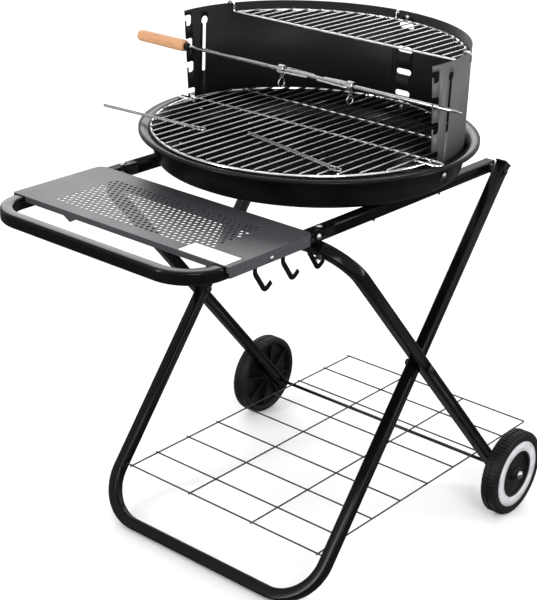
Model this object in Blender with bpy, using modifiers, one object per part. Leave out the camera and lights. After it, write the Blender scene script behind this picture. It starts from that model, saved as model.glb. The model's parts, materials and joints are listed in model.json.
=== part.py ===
"""Round charcoal grill on an X-legged trolley, built as separate pieces.

Metres, +Z up.  -X is the handle end, +X the wheel end, -Y the near side,
+Y the far side.  The ground is z = 0.  Pieces are laid out about the bowl's
centre line and everything hangs from one empty that puts the middle of the
bounding box over the origin.
"""
import math

import bmesh
import bpy
from mathutils import Matrix, Vector

# ------------------------------------------------------------------ dimensions
GAP = 0.0003            # clearance between pieces that touch
TUBE = 0.0195           # outside width of the square frame tube
TUBE_R = 0.0036         # its corner radius
TUBE_WALL = 0.0011

OFFSET_X = 0.0360       # puts the bounding box middle over the origin
OFFSET_Y = -0.0274

# top frame
TOP_Z = 0.6259          # centre height of handle loop and side rails
LOOP_FRONT_X = -0.4897  # centre line of the handle's front bar
LOOP_TAIL_X = -0.1940      # the rails start here, with a stub inside the loop
LOOP_Y = 0.1970
LOOP_BEND = 0.058
RAIL_Y = 0.1970
RAIL_FRONT_X = -0.1937
STUB_X = -0.2440         # front end of the rail's reduced stub
RAIL_REAR_X = 0.2285

# legs
LEG_A_Y = 0.2263        # foot leg frame, inner U
LEG_B_Y = 0.2474        # wheel leg frame, outer U
FOOT_X, FOOT_Z = -0.2443, 0.0118
LEG_A_DIR = Vector((0.6000, 0.0, 0.8000))
LEG_A_BEND = 0.078
AXLE_X, AXLE_Z = 0.2567, 0.0765
CROSS_X, CROSS_Z = -0.2192, 0.6034
LEG_B_BEND = 0.064
LEG_B_TAIL = 0.016      # leg left below the axle

# wheels and axle
AXLE_R = 0.003
WHEEL_R = 0.0765
WHEEL_IN, WHEEL_OUT = 0.2680, 0.2970
RING_IN, RING_OUT = 0.0430, 0.0600
FAR_FLOAT = 0.0030      # the far wheel sits this much further out on the axle

# side table
TABLE_X0, TABLE_X1 = -0.4317, -0.2500
TABLE_HALF = 0.2130
TABLE_TOP = 0.6372
SHEET = 0.0010
TABLE_WALL = 0.0172
TABLE_LIP = 0.0088

# bowl
FLANGE_R, FLANGE_TOP = 0.2700, 0.6930
BOWL_BOTTOM = 0.6362

# windscreen
SCREEN_R = 0.2455
SCREEN_T = 0.0008
SCREEN_TOP, SCREEN_BOTTOM = 0.8438, 0.6670
NOTCH_Z0, NOTCH_STEP, NOTCH_H = 0.6990, 0.0394, 0.0180
NOTCH_DEPTH, LIP_W, LIP_H = 0.0160, 0.0040, 0.0080

# grates and spit
GRATE_X, GRATE_R = -0.0140, 0.2400
GRATE_PITCH = 0.0195
CROSS_WIRE_X = -0.0060
RACK_Z, RACK_R, RACK_CHORD = 0.8295, 0.2370, 0.0750
SPIT_X, SPIT_Z, SPIT_R = -0.0143, 0.7811, 0.0030
FORK_Y = (0.0480, -0.0880)

# wire shelf
SHELF_Z = 0.0814
SHELF_HALF = 0.2050
SHELF_FRONT_X, SHELF_REAR_X = -0.1936, 0.4260
WIRE_R = 0.0014

# ------------------------------------------------------------------ clean start
for o in list(bpy.data.objects):
    bpy.data.objects.remove(o, do_unlink=True)

scene = bpy.context.scene
parts = bpy.data.collections.new("charcoal_grill")
cutters = bpy.data.collections.new("cutters")
scene.collection.children.link(parts)
scene.collection.children.link(cutters)

origin = bpy.data.objects.new("grill_origin", None)
origin.location = (OFFSET_X, OFFSET_Y, 0.0)
parts.objects.link(origin)


# ------------------------------------------------------------------ materials
def material(name, rgb, metallic=0.0, rough=0.5):
    m = bpy.data.materials.new(name)
    m.use_nodes = True
    b = m.node_tree.nodes["Principled BSDF"]
    b.inputs["Base Color"].default_value = (*rgb, 1.0)
    b.inputs["Metallic"].default_value = metallic
    b.inputs["Roughness"].default_value = rough
    return m


FINISH = {
    "black_gloss": ((0.012, 0.012, 0.013), 0.0, 0.22),
    "black_enamel": ((0.010, 0.010, 0.011), 0.0, 0.30),
    "grey_paint": ((0.20, 0.21, 0.22), 0.6, 0.38),
    "screen_grey": ((0.055, 0.057, 0.060), 0.0, 0.40),
    "chrome": ((0.78, 0.78, 0.79), 1.0, 0.16),
    "zinc": ((0.62, 0.63, 0.65), 1.0, 0.32),
    "plastic": ((0.014, 0.014, 0.015), 0.0, 0.48),
    "ring": ((0.72, 0.72, 0.71), 0.0, 0.45),
    "beech": ((0.80, 0.52, 0.28), 0.0, 0.50),
}


# ------------------------------------------------------------------ helpers
def place(obj, finish, pivot=None):
    """Own material, right collection, hung on the origin or on a joint's empty."""
    rgb, metallic, rough = FINISH[finish]
    obj.data.materials.clear()
    obj.data.materials.append(material("mat_" + obj.name, rgb, metallic, rough))
    for c in list(obj.users_collection):
        c.objects.unlink(obj)
    parts.objects.link(obj)
    if pivot is None:
        obj.parent = origin
    else:
        obj.parent = pivot
        obj.matrix_parent_inverse = Matrix.Translation(-Vector(pivot.location))
    return obj


def joint_empty(name, pos, parent=None):
    e = bpy.data.objects.new(name, None)
    e.location = pos
    e.empty_display_size = 0.03
    parts.objects.link(e)
    e.parent = origin
    return e


def mesh_object(name, bm, matrix=None):
    me = bpy.data.meshes.new(name)
    bm.to_mesh(me)
    bm.free()
    o = bpy.data.objects.new(name, me)
    if matrix is not None:
        o.matrix_world = matrix
    scene.collection.objects.link(o)
    return o


def aligned(p, axis, xhint=None):
    """Matrix at p with local Z along axis."""
    z = Vector(axis).normalized()
    x = Vector(xhint) if xhint is not None else (Vector((1, 0, 0)) if abs(z.x) < 0.9 else Vector((0, 1, 0)))
    y = z.cross(x).normalized()
    x = y.cross(z).normalized()
    m = Matrix((x, y, z)).transposed().to_4x4()
    m.translation = Vector(p)
    return m


def add_rod(bm, p0, p1, r, sides=8):
    p0, p1 = Vector(p0), Vector(p1)
    m = aligned((p0 + p1) / 2, p1 - p0)
    bmesh.ops.create_cone(bm, cap_ends=True, segments=sides, radius1=r, radius2=r,
                          depth=(p1 - p0).length, matrix=m)


def add_box(bm, lo, hi):
    lo, hi = Vector(lo), Vector(hi)
    m = Matrix.Translation((lo + hi) / 2) @ Matrix.Diagonal((hi.x - lo.x, hi.y - lo.y, hi.z - lo.z, 1.0))
    bmesh.ops.create_cube(bm, size=1.0, matrix=m)


def smooth(obj, angle=35.0):
    obj.data.shade_smooth()
    obj.data.set_sharp_from_angle(angle=math.radians(angle))
    return obj


def bake(obj):
    """Replace an object's data with its evaluated mesh."""
    bpy.context.view_layer.update()
    dg = bpy.context.evaluated_depsgraph_get()
    me = bpy.data.meshes.new_from_object(obj.evaluated_get(dg))
    me.name = obj.name
    world = obj.matrix_world.copy()
    name = obj.name
    if obj.type == "MESH":
        obj.modifiers.clear()
        obj.data = me
        return obj
    bpy.data.objects.remove(obj, do_unlink=True)
    bm = bmesh.new()
    bm.from_mesh(me)
    bmesh.ops.remove_doubles(bm, verts=bm.verts, dist=0.000002)
    bmesh.ops.recalc_face_normals(bm, faces=bm.faces)
    top = max(bm.faces, key=lambda f: f.calc_center_median().z)
    if top.normal.z < 0:
        bmesh.ops.reverse_faces(bm, faces=bm.faces)
    bm.to_mesh(me)
    bm.free()
    o = bpy.data.objects.new(name, me)
    o.matrix_world = world
    scene.collection.objects.link(o)
    return o


def unite(base, *others):
    """Boolean union of overlapping solids into one body."""
    for k, o in enumerate(others):
        m = base.modifiers.new("join_%d" % k, "BOOLEAN")
        m.operation = "UNION"
        m.solver = "EXACT"
        m.object = o
        bake(base)
        bpy.data.objects.remove(o, do_unlink=True)
    return base


def cutter(name, bm):
    o = mesh_object(name, bm)
    scene.collection.objects.unlink(o)
    cutters.objects.link(o)
    o.parent = origin
    o.hide_render = True
    o.display_type = "WIRE"
    return o


def cut(obj, tool, solver="EXACT"):
    m = obj.modifiers.new("cut_" + tool.name, "BOOLEAN")
    m.operation = "DIFFERENCE"
    m.solver = solver
    m.object = tool
    return obj


def drill(obj, holes, sides=8):
    """holes: (point, axis, radius, length), each centred on its point."""
    bm = bmesh.new()
    for p, axis, r, length in holes:
        a = Vector(axis).normalized() * length / 2
        add_rod(bm, Vector(p) - a, Vector(p) + a, r, sides)
    return cut(obj, cutter(obj.name + "_holes", bm))


def fillet(points, radius, steps=7):
    """Polyline with its inner corners rounded; radius may be a list."""
    pts = [Vector(p) for p in points]
    rad = radius if isinstance(radius, (list, tuple)) else [radius] * (len(pts) - 2)
    out = [pts[0]]
    for i in range(1, len(pts) - 1):
        a, b, c = pts[i - 1], pts[i], pts[i + 1]
        u, v = (a - b).normalized(), (c - b).normalized()
        half = math.acos(max(-1.0, min(1.0, u.dot(v)))) / 2
        if rad[i - 1] <= 0 or half > math.radians(89.5):
            out.append(b)
            continue
        t = rad[i - 1] / math.tan(half)
        centre = b + (u + v).normalized() * (rad[i - 1] / math.sin(half))
        s, e = b + u * t - centre, b + v * t - centre
        for k in range(steps + 1):
            w = k / steps
            ang = s.angle(e)
            d = (s * math.sin((1 - w) * ang) + e * math.sin(w * ang)) / math.sin(ang)
            out.append(centre + d)
    out.append(pts[-1])
    return out


def poly_curve(name, points, closed=False):
    cu = bpy.data.curves.new(name, "CURVE")
    cu.dimensions = "3D"
    cu.resolution_u = 1
    cu.render_resolution_u = 0
    sp = cu.splines.new("POLY")
    sp.points.add(len(points) - 1)
    for q, p in zip(sp.points, points):
        q.co = (p[0], p[1], p[2] if len(p) > 2 else 0.0, 1.0)
    sp.use_cyclic_u = closed
    o = bpy.data.objects.new(name, cu)
    scene.collection.objects.link(o)
    return o


def wire(name, points, r, closed=False, res=1):
    """Round wire along a polyline, as a closed mesh."""
    o = poly_curve(name, points, closed)
    o.data.bevel_depth = r
    o.data.bevel_resolution = res
    o.data.use_fill_caps = not closed
    o.data.twist_mode = "MINIMUM"
    return bake(o)


def section(width, height, r, steps=2):
    """Rounded rectangle used as a tube's cross-section."""
    pts = []
    for cx, cy, a0 in ((1, 1, 0), (-1, 1, 90), (-1, -1, 180), (1, -1, 270)):
        for k in range(steps + 1):
            a = math.radians(a0 + 90 * k / steps)
            pts.append((cx * (width / 2 - r) + r * math.cos(a), cy * (height / 2 - r) + r * math.sin(a)))
    o = poly_curve("section", pts, True)
    o.data.dimensions = "2D"
    o.data.fill_mode = "NONE"
    return o


def flat_tube(name, points, matrix, width=TUBE, height=TUBE, r=TUBE_R, wall=TUBE_WALL, steps=1):
    """Sweep a rounded rectangle along a path that lies in the local XY plane.

    width is in that plane, height along its normal.  With a wall the sweep
    stays open at its ends and Solidify makes it a hollow tube.
    """
    prof = section(width, height, r, steps)
    o = poly_curve(name, points)
    o.data.twist_mode = "Z_UP"
    o.data.bevel_mode = "OBJECT"
    o.data.bevel_object = prof
    o.data.use_fill_caps = wall is None
    o.matrix_world = matrix
    o = bake(o)
    bpy.data.objects.remove(prof, do_unlink=True)
    if wall is not None:
        s = o.modifiers.new("wall", "SOLIDIFY")
        s.thickness = wall
        s.offset = -1.0
        s.use_even_offset = True
        s.use_quality_normals = True
    return smooth(o, 50)


def lathe(name, profile, matrix, steps=24, angle=360.0):
    """Turn (radius, height) points, listed down the outer side, about local Z."""
    bm = bmesh.new()
    vs = [bm.verts.new((p[0], 0.0, p[1])) for p in profile]
    for a, b in zip(vs, vs[1:]):
        bm.edges.new((a, b))
    o = mesh_object(name, bm, matrix)
    s = o.modifiers.new("turn", "SCREW")
    s.axis = "Z"
    s.angle = math.radians(angle)
    s.steps = s.render_steps = steps
    s.use_merge_vertices = True
    s.merge_threshold = 0.00001
    s.use_smooth_shade = True
    s.use_normal_calculate = False
    return o


def ring_lathe(name, profile, matrix, steps=24):
    """As lathe, for a closed profile that does not touch the axis."""
    bm = bmesh.new()
    vs = [bm.verts.new((p[0], 0.0, p[1])) for p in profile]
    for a, b in zip(vs, vs[1:] + vs[:1]):
        bm.edges.new((a, b))
    o = mesh_object(name, bm, matrix)
    s = o.modifiers.new("turn", "SCREW")
    s.axis = "Z"
    s.angle = math.radians(360.0)
    s.steps = s.render_steps = steps
    s.use_merge_vertices = True
    s.merge_threshold = 0.00001
    s.use_smooth_shade = True
    return o


def bolt(name, start, axis, grip, r=0.0025, head_r=0.0052, head_h=0.0032, nut_r=0.0046, nut_h=0.0036,
         finish="zinc", over=0.0015, pivot=None):
    """Domed bolt: head outside `start`, shank along -axis for `grip`, then its nut."""
    z0 = GAP
    prof = [(0, z0 + head_h), (head_r * 0.7, z0 + head_h * 0.85), (head_r, z0), (r, z0), (r, -grip - GAP),
            (nut_r, -grip - GAP), (nut_r, -grip - GAP - nut_h), (r, -grip - GAP - nut_h),
            (r * 0.9, -grip - GAP - nut_h - over), (0, -grip - GAP - nut_h - over)]
    if nut_r <= 0:
        prof = prof[:4] + [(r, -grip + 0.0015), (0, -grip)]
    return place(lathe(name, prof, aligned(start, axis), 8), finish, pivot)


# ------------------------------------------------------------------ leg frames
dir_a = LEG_A_DIR.normalized()
dir_b = Vector((CROSS_X - AXLE_X, 0.0, CROSS_Z - AXLE_Z))
len_b = dir_b.length
dir_b.normalize()

# the foot frame: a U whose bar lies on the ground
top_a = (TOP_Z + 0.010 - FOOT_Z) / dir_a.z
mat_a = Matrix(((0, 1, 0), dir_a, Vector((0, 1, 0)).cross(dir_a))).transposed().to_4x4()
mat_a.translation = Vector((FOOT_X, 0, FOOT_Z))
path_a = fillet([(-LEG_A_Y, top_a, 0), (-LEG_A_Y, 0, 0), (LEG_A_Y, 0, 0), (LEG_A_Y, top_a, 0)], LEG_A_BEND, 5)
foot_frame = flat_tube("foot_leg_frame", path_a, mat_a)

# the wheel frame: an upside-down U whose bar carries the side rails
mat_b = Matrix(((0, 1, 0), dir_b, Vector((0, 1, 0)).cross(dir_b))).transposed().to_4x4()
mat_b.translation = Vector((AXLE_X, 0, AXLE_Z))
path_b = fillet([(-LEG_B_Y, -LEG_B_TAIL, 0), (-LEG_B_Y, len_b, 0), (LEG_B_Y, len_b, 0),
                 (LEG_B_Y, -LEG_B_TAIL, 0)], LEG_B_BEND, 5)
wheel_frame = flat_tube("wheel_leg_frame", path_b, mat_b)

# where the two frames cross
s_cross = ((AXLE_X - FOOT_X) + dir_b.x / dir_b.z * (FOOT_Z - AXLE_Z)) / (dir_a.x / dir_a.z - dir_b.x / dir_b.z)
PIVOT = Vector((FOOT_X + dir_a.x / dir_a.z * s_cross, 0, FOOT_Z + s_cross))
TOP_A = Vector((FOOT_X + dir_a.x / dir_a.z * (TOP_Z - FOOT_Z), 0, TOP_Z))

# ------------------------------------------------------------------ top frame
flat = Matrix.Translation((0, 0, TOP_Z))
path_l = fillet([(LOOP_TAIL_X, -LOOP_Y, 0), (LOOP_FRONT_X, -LOOP_Y, 0), (LOOP_FRONT_X, LOOP_Y, 0),
                 (LOOP_TAIL_X, LOOP_Y, 0)], LOOP_BEND, 5)
loop = flat_tube("handle_loop", path_l, flat)

rails = {}
for side, sy in (("near", -1), ("far", 1)):
    rails[side] = flat_tube("side_rail_" + side,
                            [(RAIL_FRONT_X, sy * RAIL_Y, 0), (RAIL_REAR_X, sy * RAIL_Y, 0)], flat)
    bake(rails[side])
    inner = TUBE - 2 * TUBE_WALL - 2 * GAP
    stub = flat_tube("stub", [(STUB_X, sy * RAIL_Y, 0), (RAIL_FRONT_X + 0.0060, sy * RAIL_Y, 0)], flat,
                     width=inner, height=inner, r=0.0036, wall=None)
    bake(stub)
    root = flat_tube("stub_root", [(RAIL_FRONT_X + 0.0010, sy * RAIL_Y, 0), (RAIL_FRONT_X + 0.0065, sy * RAIL_Y, 0)], flat,
                     width=TUBE - 2 * TUBE_WALL + 0.0008, height=TUBE - 2 * TUBE_WALL + 0.0008, r=0.0030, wall=None)
    bake(root)
    unite(rails[side], root, stub)

# ------------------------------------------------------------------ bolts and their holes
HANDLE_BOLT_X = -0.2320
CROSS_BOLT_X = CROSS_X
BOWL_SCREW_X = (-0.0860, 0.0868)
HOOK_X = (-0.3715, -0.3120, -0.2545)
TABLE_SCREW_X = -0.3430
SHELF_STUB = 0.2215
M5 = 0.0025
H5 = 0.0031

holes_a, holes_b, holes_l = [], [], []
Y = (0, 1, 0)
Z = (0, 0, 1)
for sy in (-1, 1):
    holes_a.append(((PIVOT.x, sy * LEG_A_Y, PIVOT.z), Y, 0.0036, 0.030))
    holes_a.append(((TOP_A.x, sy * LEG_A_Y, TOP_A.z), Y, H5, 0.034))
    holes_a.append(((SHELF_FRONT_X, sy * (LEG_A_Y - TUBE / 2), SHELF_Z + 2 * WIRE_R - 0.0006), Y, 0.0020, 0.008))
    holes_b.append(((PIVOT.x, sy * LEG_B_Y, PIVOT.z), Y, 0.0036, 0.030))
    holes_b.append(((AXLE_X, sy * LEG_B_Y, AXLE_Z), Y, AXLE_R + 2 * GAP, 0.030))
    holes_b.append(((CROSS_BOLT_X, sy * LOOP_Y, CROSS_Z), Z, H5, 0.030))
    holes_l.append(((CROSS_BOLT_X, sy * LOOP_Y, TOP_Z), Z, H5, 0.030))
    holes_l.append(((HANDLE_BOLT_X, sy * LOOP_Y, TOP_Z), Y, H5, 0.0235))
    holes_l.append(((TABLE_SCREW_X, sy * (LOOP_Y + TUBE / 2), TOP_Z), Y, 0.0023, 0.008))
for hx in HOOK_X:
    holes_l.append(((hx, -(LOOP_Y + TUBE / 2), TOP_Z), Y, 0.0023, 0.008))
drill(foot_frame, holes_a)
drill(wheel_frame, holes_b)
drill(loop, holes_l)
place(foot_frame, "black_gloss")
place(wheel_frame, "black_gloss")
place(loop, "black_gloss")

for side, sy in (("near", -1), ("far", 1)):
    rail = rails[side]
    hs = [((HANDLE_BOLT_X, sy * RAIL_Y, TOP_Z), Y, H5, 0.0210),
          ((CROSS_BOLT_X, sy * RAIL_Y, TOP_Z), Z, H5, 0.0210),
          ((TOP_A.x, sy * RAIL_Y, TOP_Z), Y, H5, 0.0210)]
    hs += [((bx, sy * RAIL_Y, TOP_Z), Z, 0.0024, 0.030) for bx in BOWL_SCREW_X]
    drill(rail, hs)
    place(rail, "black_gloss")

    # bolts: pivot, leg top, handle, crossbar
    bolt("pivot_bolt_" + side, (PIVOT.x, sy * (LEG_B_Y + TUBE / 2), PIVOT.z), (0, sy, 0),
         LEG_B_Y - LEG_A_Y + TUBE, r=0.003, head_r=0.0070, head_h=0.0040, nut_r=0.0055, nut_h=0.0045,
         finish="plastic")
    spacer_in, spacer_out = 0.0034, 0.0085
    y0, y1 = LEG_A_Y + TUBE / 2 + GAP, LEG_B_Y - TUBE / 2 - GAP
    place(ring_lathe("pivot_spacer_" + side,
                     [(spacer_in, y1), (spacer_out, y1), (spacer_out, y0), (spacer_in, y0)],
                     aligned((PIVOT.x, 0, PIVOT.z), (0, sy, 0)), 16), "plastic")
    bolt("leg_top_bolt_" + side, (TOP_A.x, sy * (LEG_A_Y + TUBE / 2), TOP_A.z), (0, sy, 0),
         LEG_A_Y - RAIL_Y + TUBE, finish="plastic")
    bolt("handle_bolt_" + side, (HANDLE_BOLT_X, sy * (RAIL_Y + TUBE / 2), TOP_Z), (0, sy, 0), TUBE)
    place(ring_lathe("leg_top_spacer_" + side,
                     [(0.0034, LEG_A_Y - TUBE / 2 - GAP), (0.0075, LEG_A_Y - TUBE / 2 - GAP),
                      (0.0075, RAIL_Y + TUBE / 2 + GAP), (0.0034, RAIL_Y + TUBE / 2 + GAP)],
                     aligned((TOP_A.x, 0, TOP_A.z), (0, sy, 0)), 16), "plastic")
    bolt("crossbar_bolt_" + side, (CROSS_BOLT_X, sy * LOOP_Y, TOP_Z + TUBE / 2), Z,
         TOP_Z + TUBE / 2 - (CROSS_Z - 0.0152), nut_r=0.0060, nut_h=0.0020, head_h=0.0030)

    # plastic plugs: rail end, leg top, leg foot
    plug = TUBE - 2 * TUBE_WALL - 2 * GAP
    bm = bmesh.new()
    add_box(bm, (RAIL_REAR_X - 0.008, sy * RAIL_Y - plug / 2 + 0.0004, TOP_Z - plug / 2 + 0.0004),
            (RAIL_REAR_X + 0.002, sy * RAIL_Y + plug / 2 - 0.0004, TOP_Z + plug / 2 - 0.0004))
    stem = mesh_object("stem", bm)
    bv = stem.modifiers.new("corner", "BEVEL")
    bv.width = 0.0022
    bv.segments = 1
    bake(stem)
    bm = bmesh.new()
    add_box(bm, (RAIL_REAR_X + GAP, sy * RAIL_Y - TUBE / 2, TOP_Z - TUBE / 2),
            (RAIL_REAR_X + 0.0040, sy * RAIL_Y + TUBE / 2, TOP_Z + TUBE / 2))
    cap = mesh_object("rail_end_cap_" + side, bm)
    bv = cap.modifiers.new("corner", "BEVEL")
    bv.width = 0.0018
    bv.segments = 1
    bake(cap)
    unite(cap, stem)
    place(smooth(cap), "plastic")

    for name, at, along, ycen in (("leg_top_plug_", Vector((FOOT_X, 0, FOOT_Z)) + dir_a * top_a, dir_a, LEG_A_Y),
                                  ("leg_foot_plug_", Vector((AXLE_X, 0, AXLE_Z)) - dir_b * LEG_B_TAIL, -dir_b, LEG_B_Y)):
        m = aligned((at.x, sy * ycen, at.z), along, (0, 1, 0))
        depth = 0.004
        bm = bmesh.new()
        add_box(bm, (-plug / 2 + 0.0003, -plug / 2 + 0.0003, -depth), (plug / 2 - 0.0003, plug / 2 - 0.0003, 0.001))
        stem = mesh_object("stem", bm, m)
        bv = stem.modifiers.new("corner", "BEVEL")
        bv.width = 0.0022
        bv.segments = 1
        bake(stem)
        bm = bmesh.new()
        over = 0.0008 if name == "leg_top_plug_" else 0.0
        add_box(bm, (-TUBE / 2, -TUBE / 2 - over, GAP), (TUBE / 2, TUBE / 2 + over, 0.0034))
        head = mesh_object(name + side, bm, m)
        bv = head.modifiers.new("corner", "BEVEL")
        bv.width = 0.0010
        bv.segments = 2
        bake(head)
        unite(head, stem)
        place(smooth(head), "plastic")

# ------------------------------------------------------------------ side table
bm = bmesh.new()
outline = fillet([(TABLE_X0 + 0.05, -TABLE_HALF, 0), (TABLE_X1, -TABLE_HALF, 0), (TABLE_X1, TABLE_HALF, 0),
                  (TABLE_X0, TABLE_HALF, 0), (TABLE_X0, -TABLE_HALF, 0), (TABLE_X0 + 0.05, -TABLE_HALF, 0)],
                 [0.012, 0.012, 0.003, 0.003], 3)[:-1]
vs = [bm.verts.new((p.x, p.y, TABLE_TOP)) for p in outline]
top_face = bm.faces.new(vs)
if top_face.normal.z < 0:
    top_face.normal_flip()
ext = bmesh.ops.extrude_edge_only(bm, edges=[e for e in bm.edges])
for v in [g for g in ext["geom"] if isinstance(g, bmesh.types.BMVert)]:
    v.co.z -= TABLE_LIP if v.co.x < TABLE_X0 + 0.002 else TABLE_WALL
bmesh.ops.recalc_face_normals(bm, faces=bm.faces)
table = mesh_object("side_table", bm)
if table.data.polygons[0].normal.z < 0:
    table.data.flip_normals()
so = table.modifiers.new("sheet", "SOLIDIFY")
so.thickness = SHEET
so.offset = -1.0
so.use_even_offset = True
bake(table)
# a small pointed tab hangs from the front lip
bm = bmesh.new()
lip_z = TABLE_TOP - TABLE_LIP
f = bm.faces.new([bm.verts.new((TABLE_X0, y, z)) for y, z in
                  ((0.0770, lip_z + 0.0010), (0.1065, lip_z + 0.0010), (0.0910, 0.6213))])
r = bmesh.ops.extrude_face_region(bm, geom=[f])
for v in [g for g in r["geom"] if isinstance(g, bmesh.types.BMVert)]:
    v.co.x += SHEET * 0.9
bmesh.ops.recalc_face_normals(bm, faces=bm.faces)
unite(table, mesh_object("tab", bm))
# the two side tubes pass under the lip and through the rear wall
bm = bmesh.new()
for sy in (-1, 1):
    for x0, x1, ya, yb in ((TABLE_X0 - 0.004, TABLE_X0 + 0.006, 0.1860, 0.2085),
                           (TABLE_X1 - 0.0080, TABLE_X1 + 0.004, 0.1860, 0.2108)):
        add_box(bm, (x0, min(sy * ya, sy * yb), 0.600), (x1, max(sy * ya, sy * yb), TABLE_TOP - SHEET - 0.0001))
cut(table, cutter("side_table_notches", bm))
drill(table, [((TABLE_SCREW_X, sy * (TABLE_HALF - SHEET / 2), TOP_Z), Y, 0.0023, 0.006) for sy in (-1, 1)])
place(table, "grey_paint")
for side, sy in (("near", -1), ("far", 1)):
    bolt("table_screw_" + side, (TABLE_SCREW_X, sy * TABLE_HALF, TOP_Z), (0, sy, 0), 0.016,
         r=0.0018, head_r=0.0042, head_h=0.0024, nut_r=0)

# three flat J hooks riveted to the near tube of the handle loop
for k, hx in enumerate(HOOK_X):
    yc = -(LOOP_Y + TUBE / 2 + GAP + 0.0010)
    m = Matrix(((1, 0, 0), (0, 0, 1), Vector((1, 0, 0)).cross(Vector((0, 0, 1))))).transposed().to_4x4()
    m.translation = Vector((hx, yc, TOP_Z))
    path = fillet([(0, 0.0080, 0), (0, -0.0160, 0), (0.0225, -0.0475, 0), (0.0355, -0.0380, 0)],
                  [0.012, 0.0065], 5)
    hook = flat_tube("utensil_hook_%d" % (k + 1), path, m, width=0.0078, height=0.0020, r=0.0006, wall=None, steps=1)
    bm = bmesh.new()
    add_rod(bm, (hx, yc + 0.0002, TOP_Z), (hx, yc + 0.0055, TOP_Z), 0.0019, 10)
    add_rod(bm, (hx, yc + 0.0002, TOP_Z + 0.0), (hx, yc - 0.0022, TOP_Z), 0.0030, 10)
    rivet = mesh_object("rivet", bm)
    bake(rivet)
    bmr = bmesh.new()
    add_rod(bmr, (hx, yc - 0.0004, TOP_Z), (hx, yc + 0.0055, TOP_Z), 0.0019, 10)
    bpy.data.objects.remove(rivet, do_unlink=True)
    rivet = mesh_object("rivet", bmr)
    unite(hook, rivet)
    place(smooth(hook), "black_gloss")

# ------------------------------------------------------------------ fire bowl
b0 = BOWL_BOTTOM
bowl_profile = [(0.0, b0 + 0.0010), (0.2170, b0 + 0.0010), (0.2298, b0 + 0.0052), (0.2397, b0 + 0.0097), (0.2438, b0 + 0.0150),
                (0.2535, FLANGE_TOP), (FLANGE_R, FLANGE_TOP), (FLANGE_R, FLANGE_TOP - 0.0045),
                (FLANGE_R - 0.0011, FLANGE_TOP - 0.0045), (FLANGE_R - 0.0011, FLANGE_TOP - 0.0011),
                (0.2544, FLANGE_TOP - 0.0011), (0.2449, b0 + 0.0147), (0.2406, b0 + 0.0090), (0.2303, b0 + 0.0042), (0.2174, b0), (0.0, b0)]
bowl = lathe("fire_bowl", bowl_profile, Matrix.Identity(4), 44)
SCREEN_SCREW = Vector((0.0120, 0, 0.6710))
bowl_holes = [((bx, sy * RAIL_Y, b0), Z, 0.0025, 0.012) for bx in BOWL_SCREW_X for sy in (-1, 1)]
bowl_holes += [((SCREEN_SCREW.x, sy * 0.2490, SCREEN_SCREW.z), Y, 0.0027, 0.012) for sy in (-1, 1)]
drill(bowl, bowl_holes)
place(bowl, "black_enamel")
n = 0
for side, sy in (("near", -1), ("far", 1)):
    for end, bx in (("front", BOWL_SCREW_X[0]), ("rear", BOWL_SCREW_X[1])):
        bolt("bowl_screw_%s_%s" % (side, end), (bx, sy * RAIL_Y, b0 + 0.0046), Z, 0.0320,
             r=0.0020, head_r=0.0045, head_h=0.0026, nut_r=0)


# ------------------------------------------------------------------ windscreen
def edge_x(z):
    """The free edges lean forward a little towards the top."""
    return -0.0160 - 0.1 * (z - 0.70)


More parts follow.
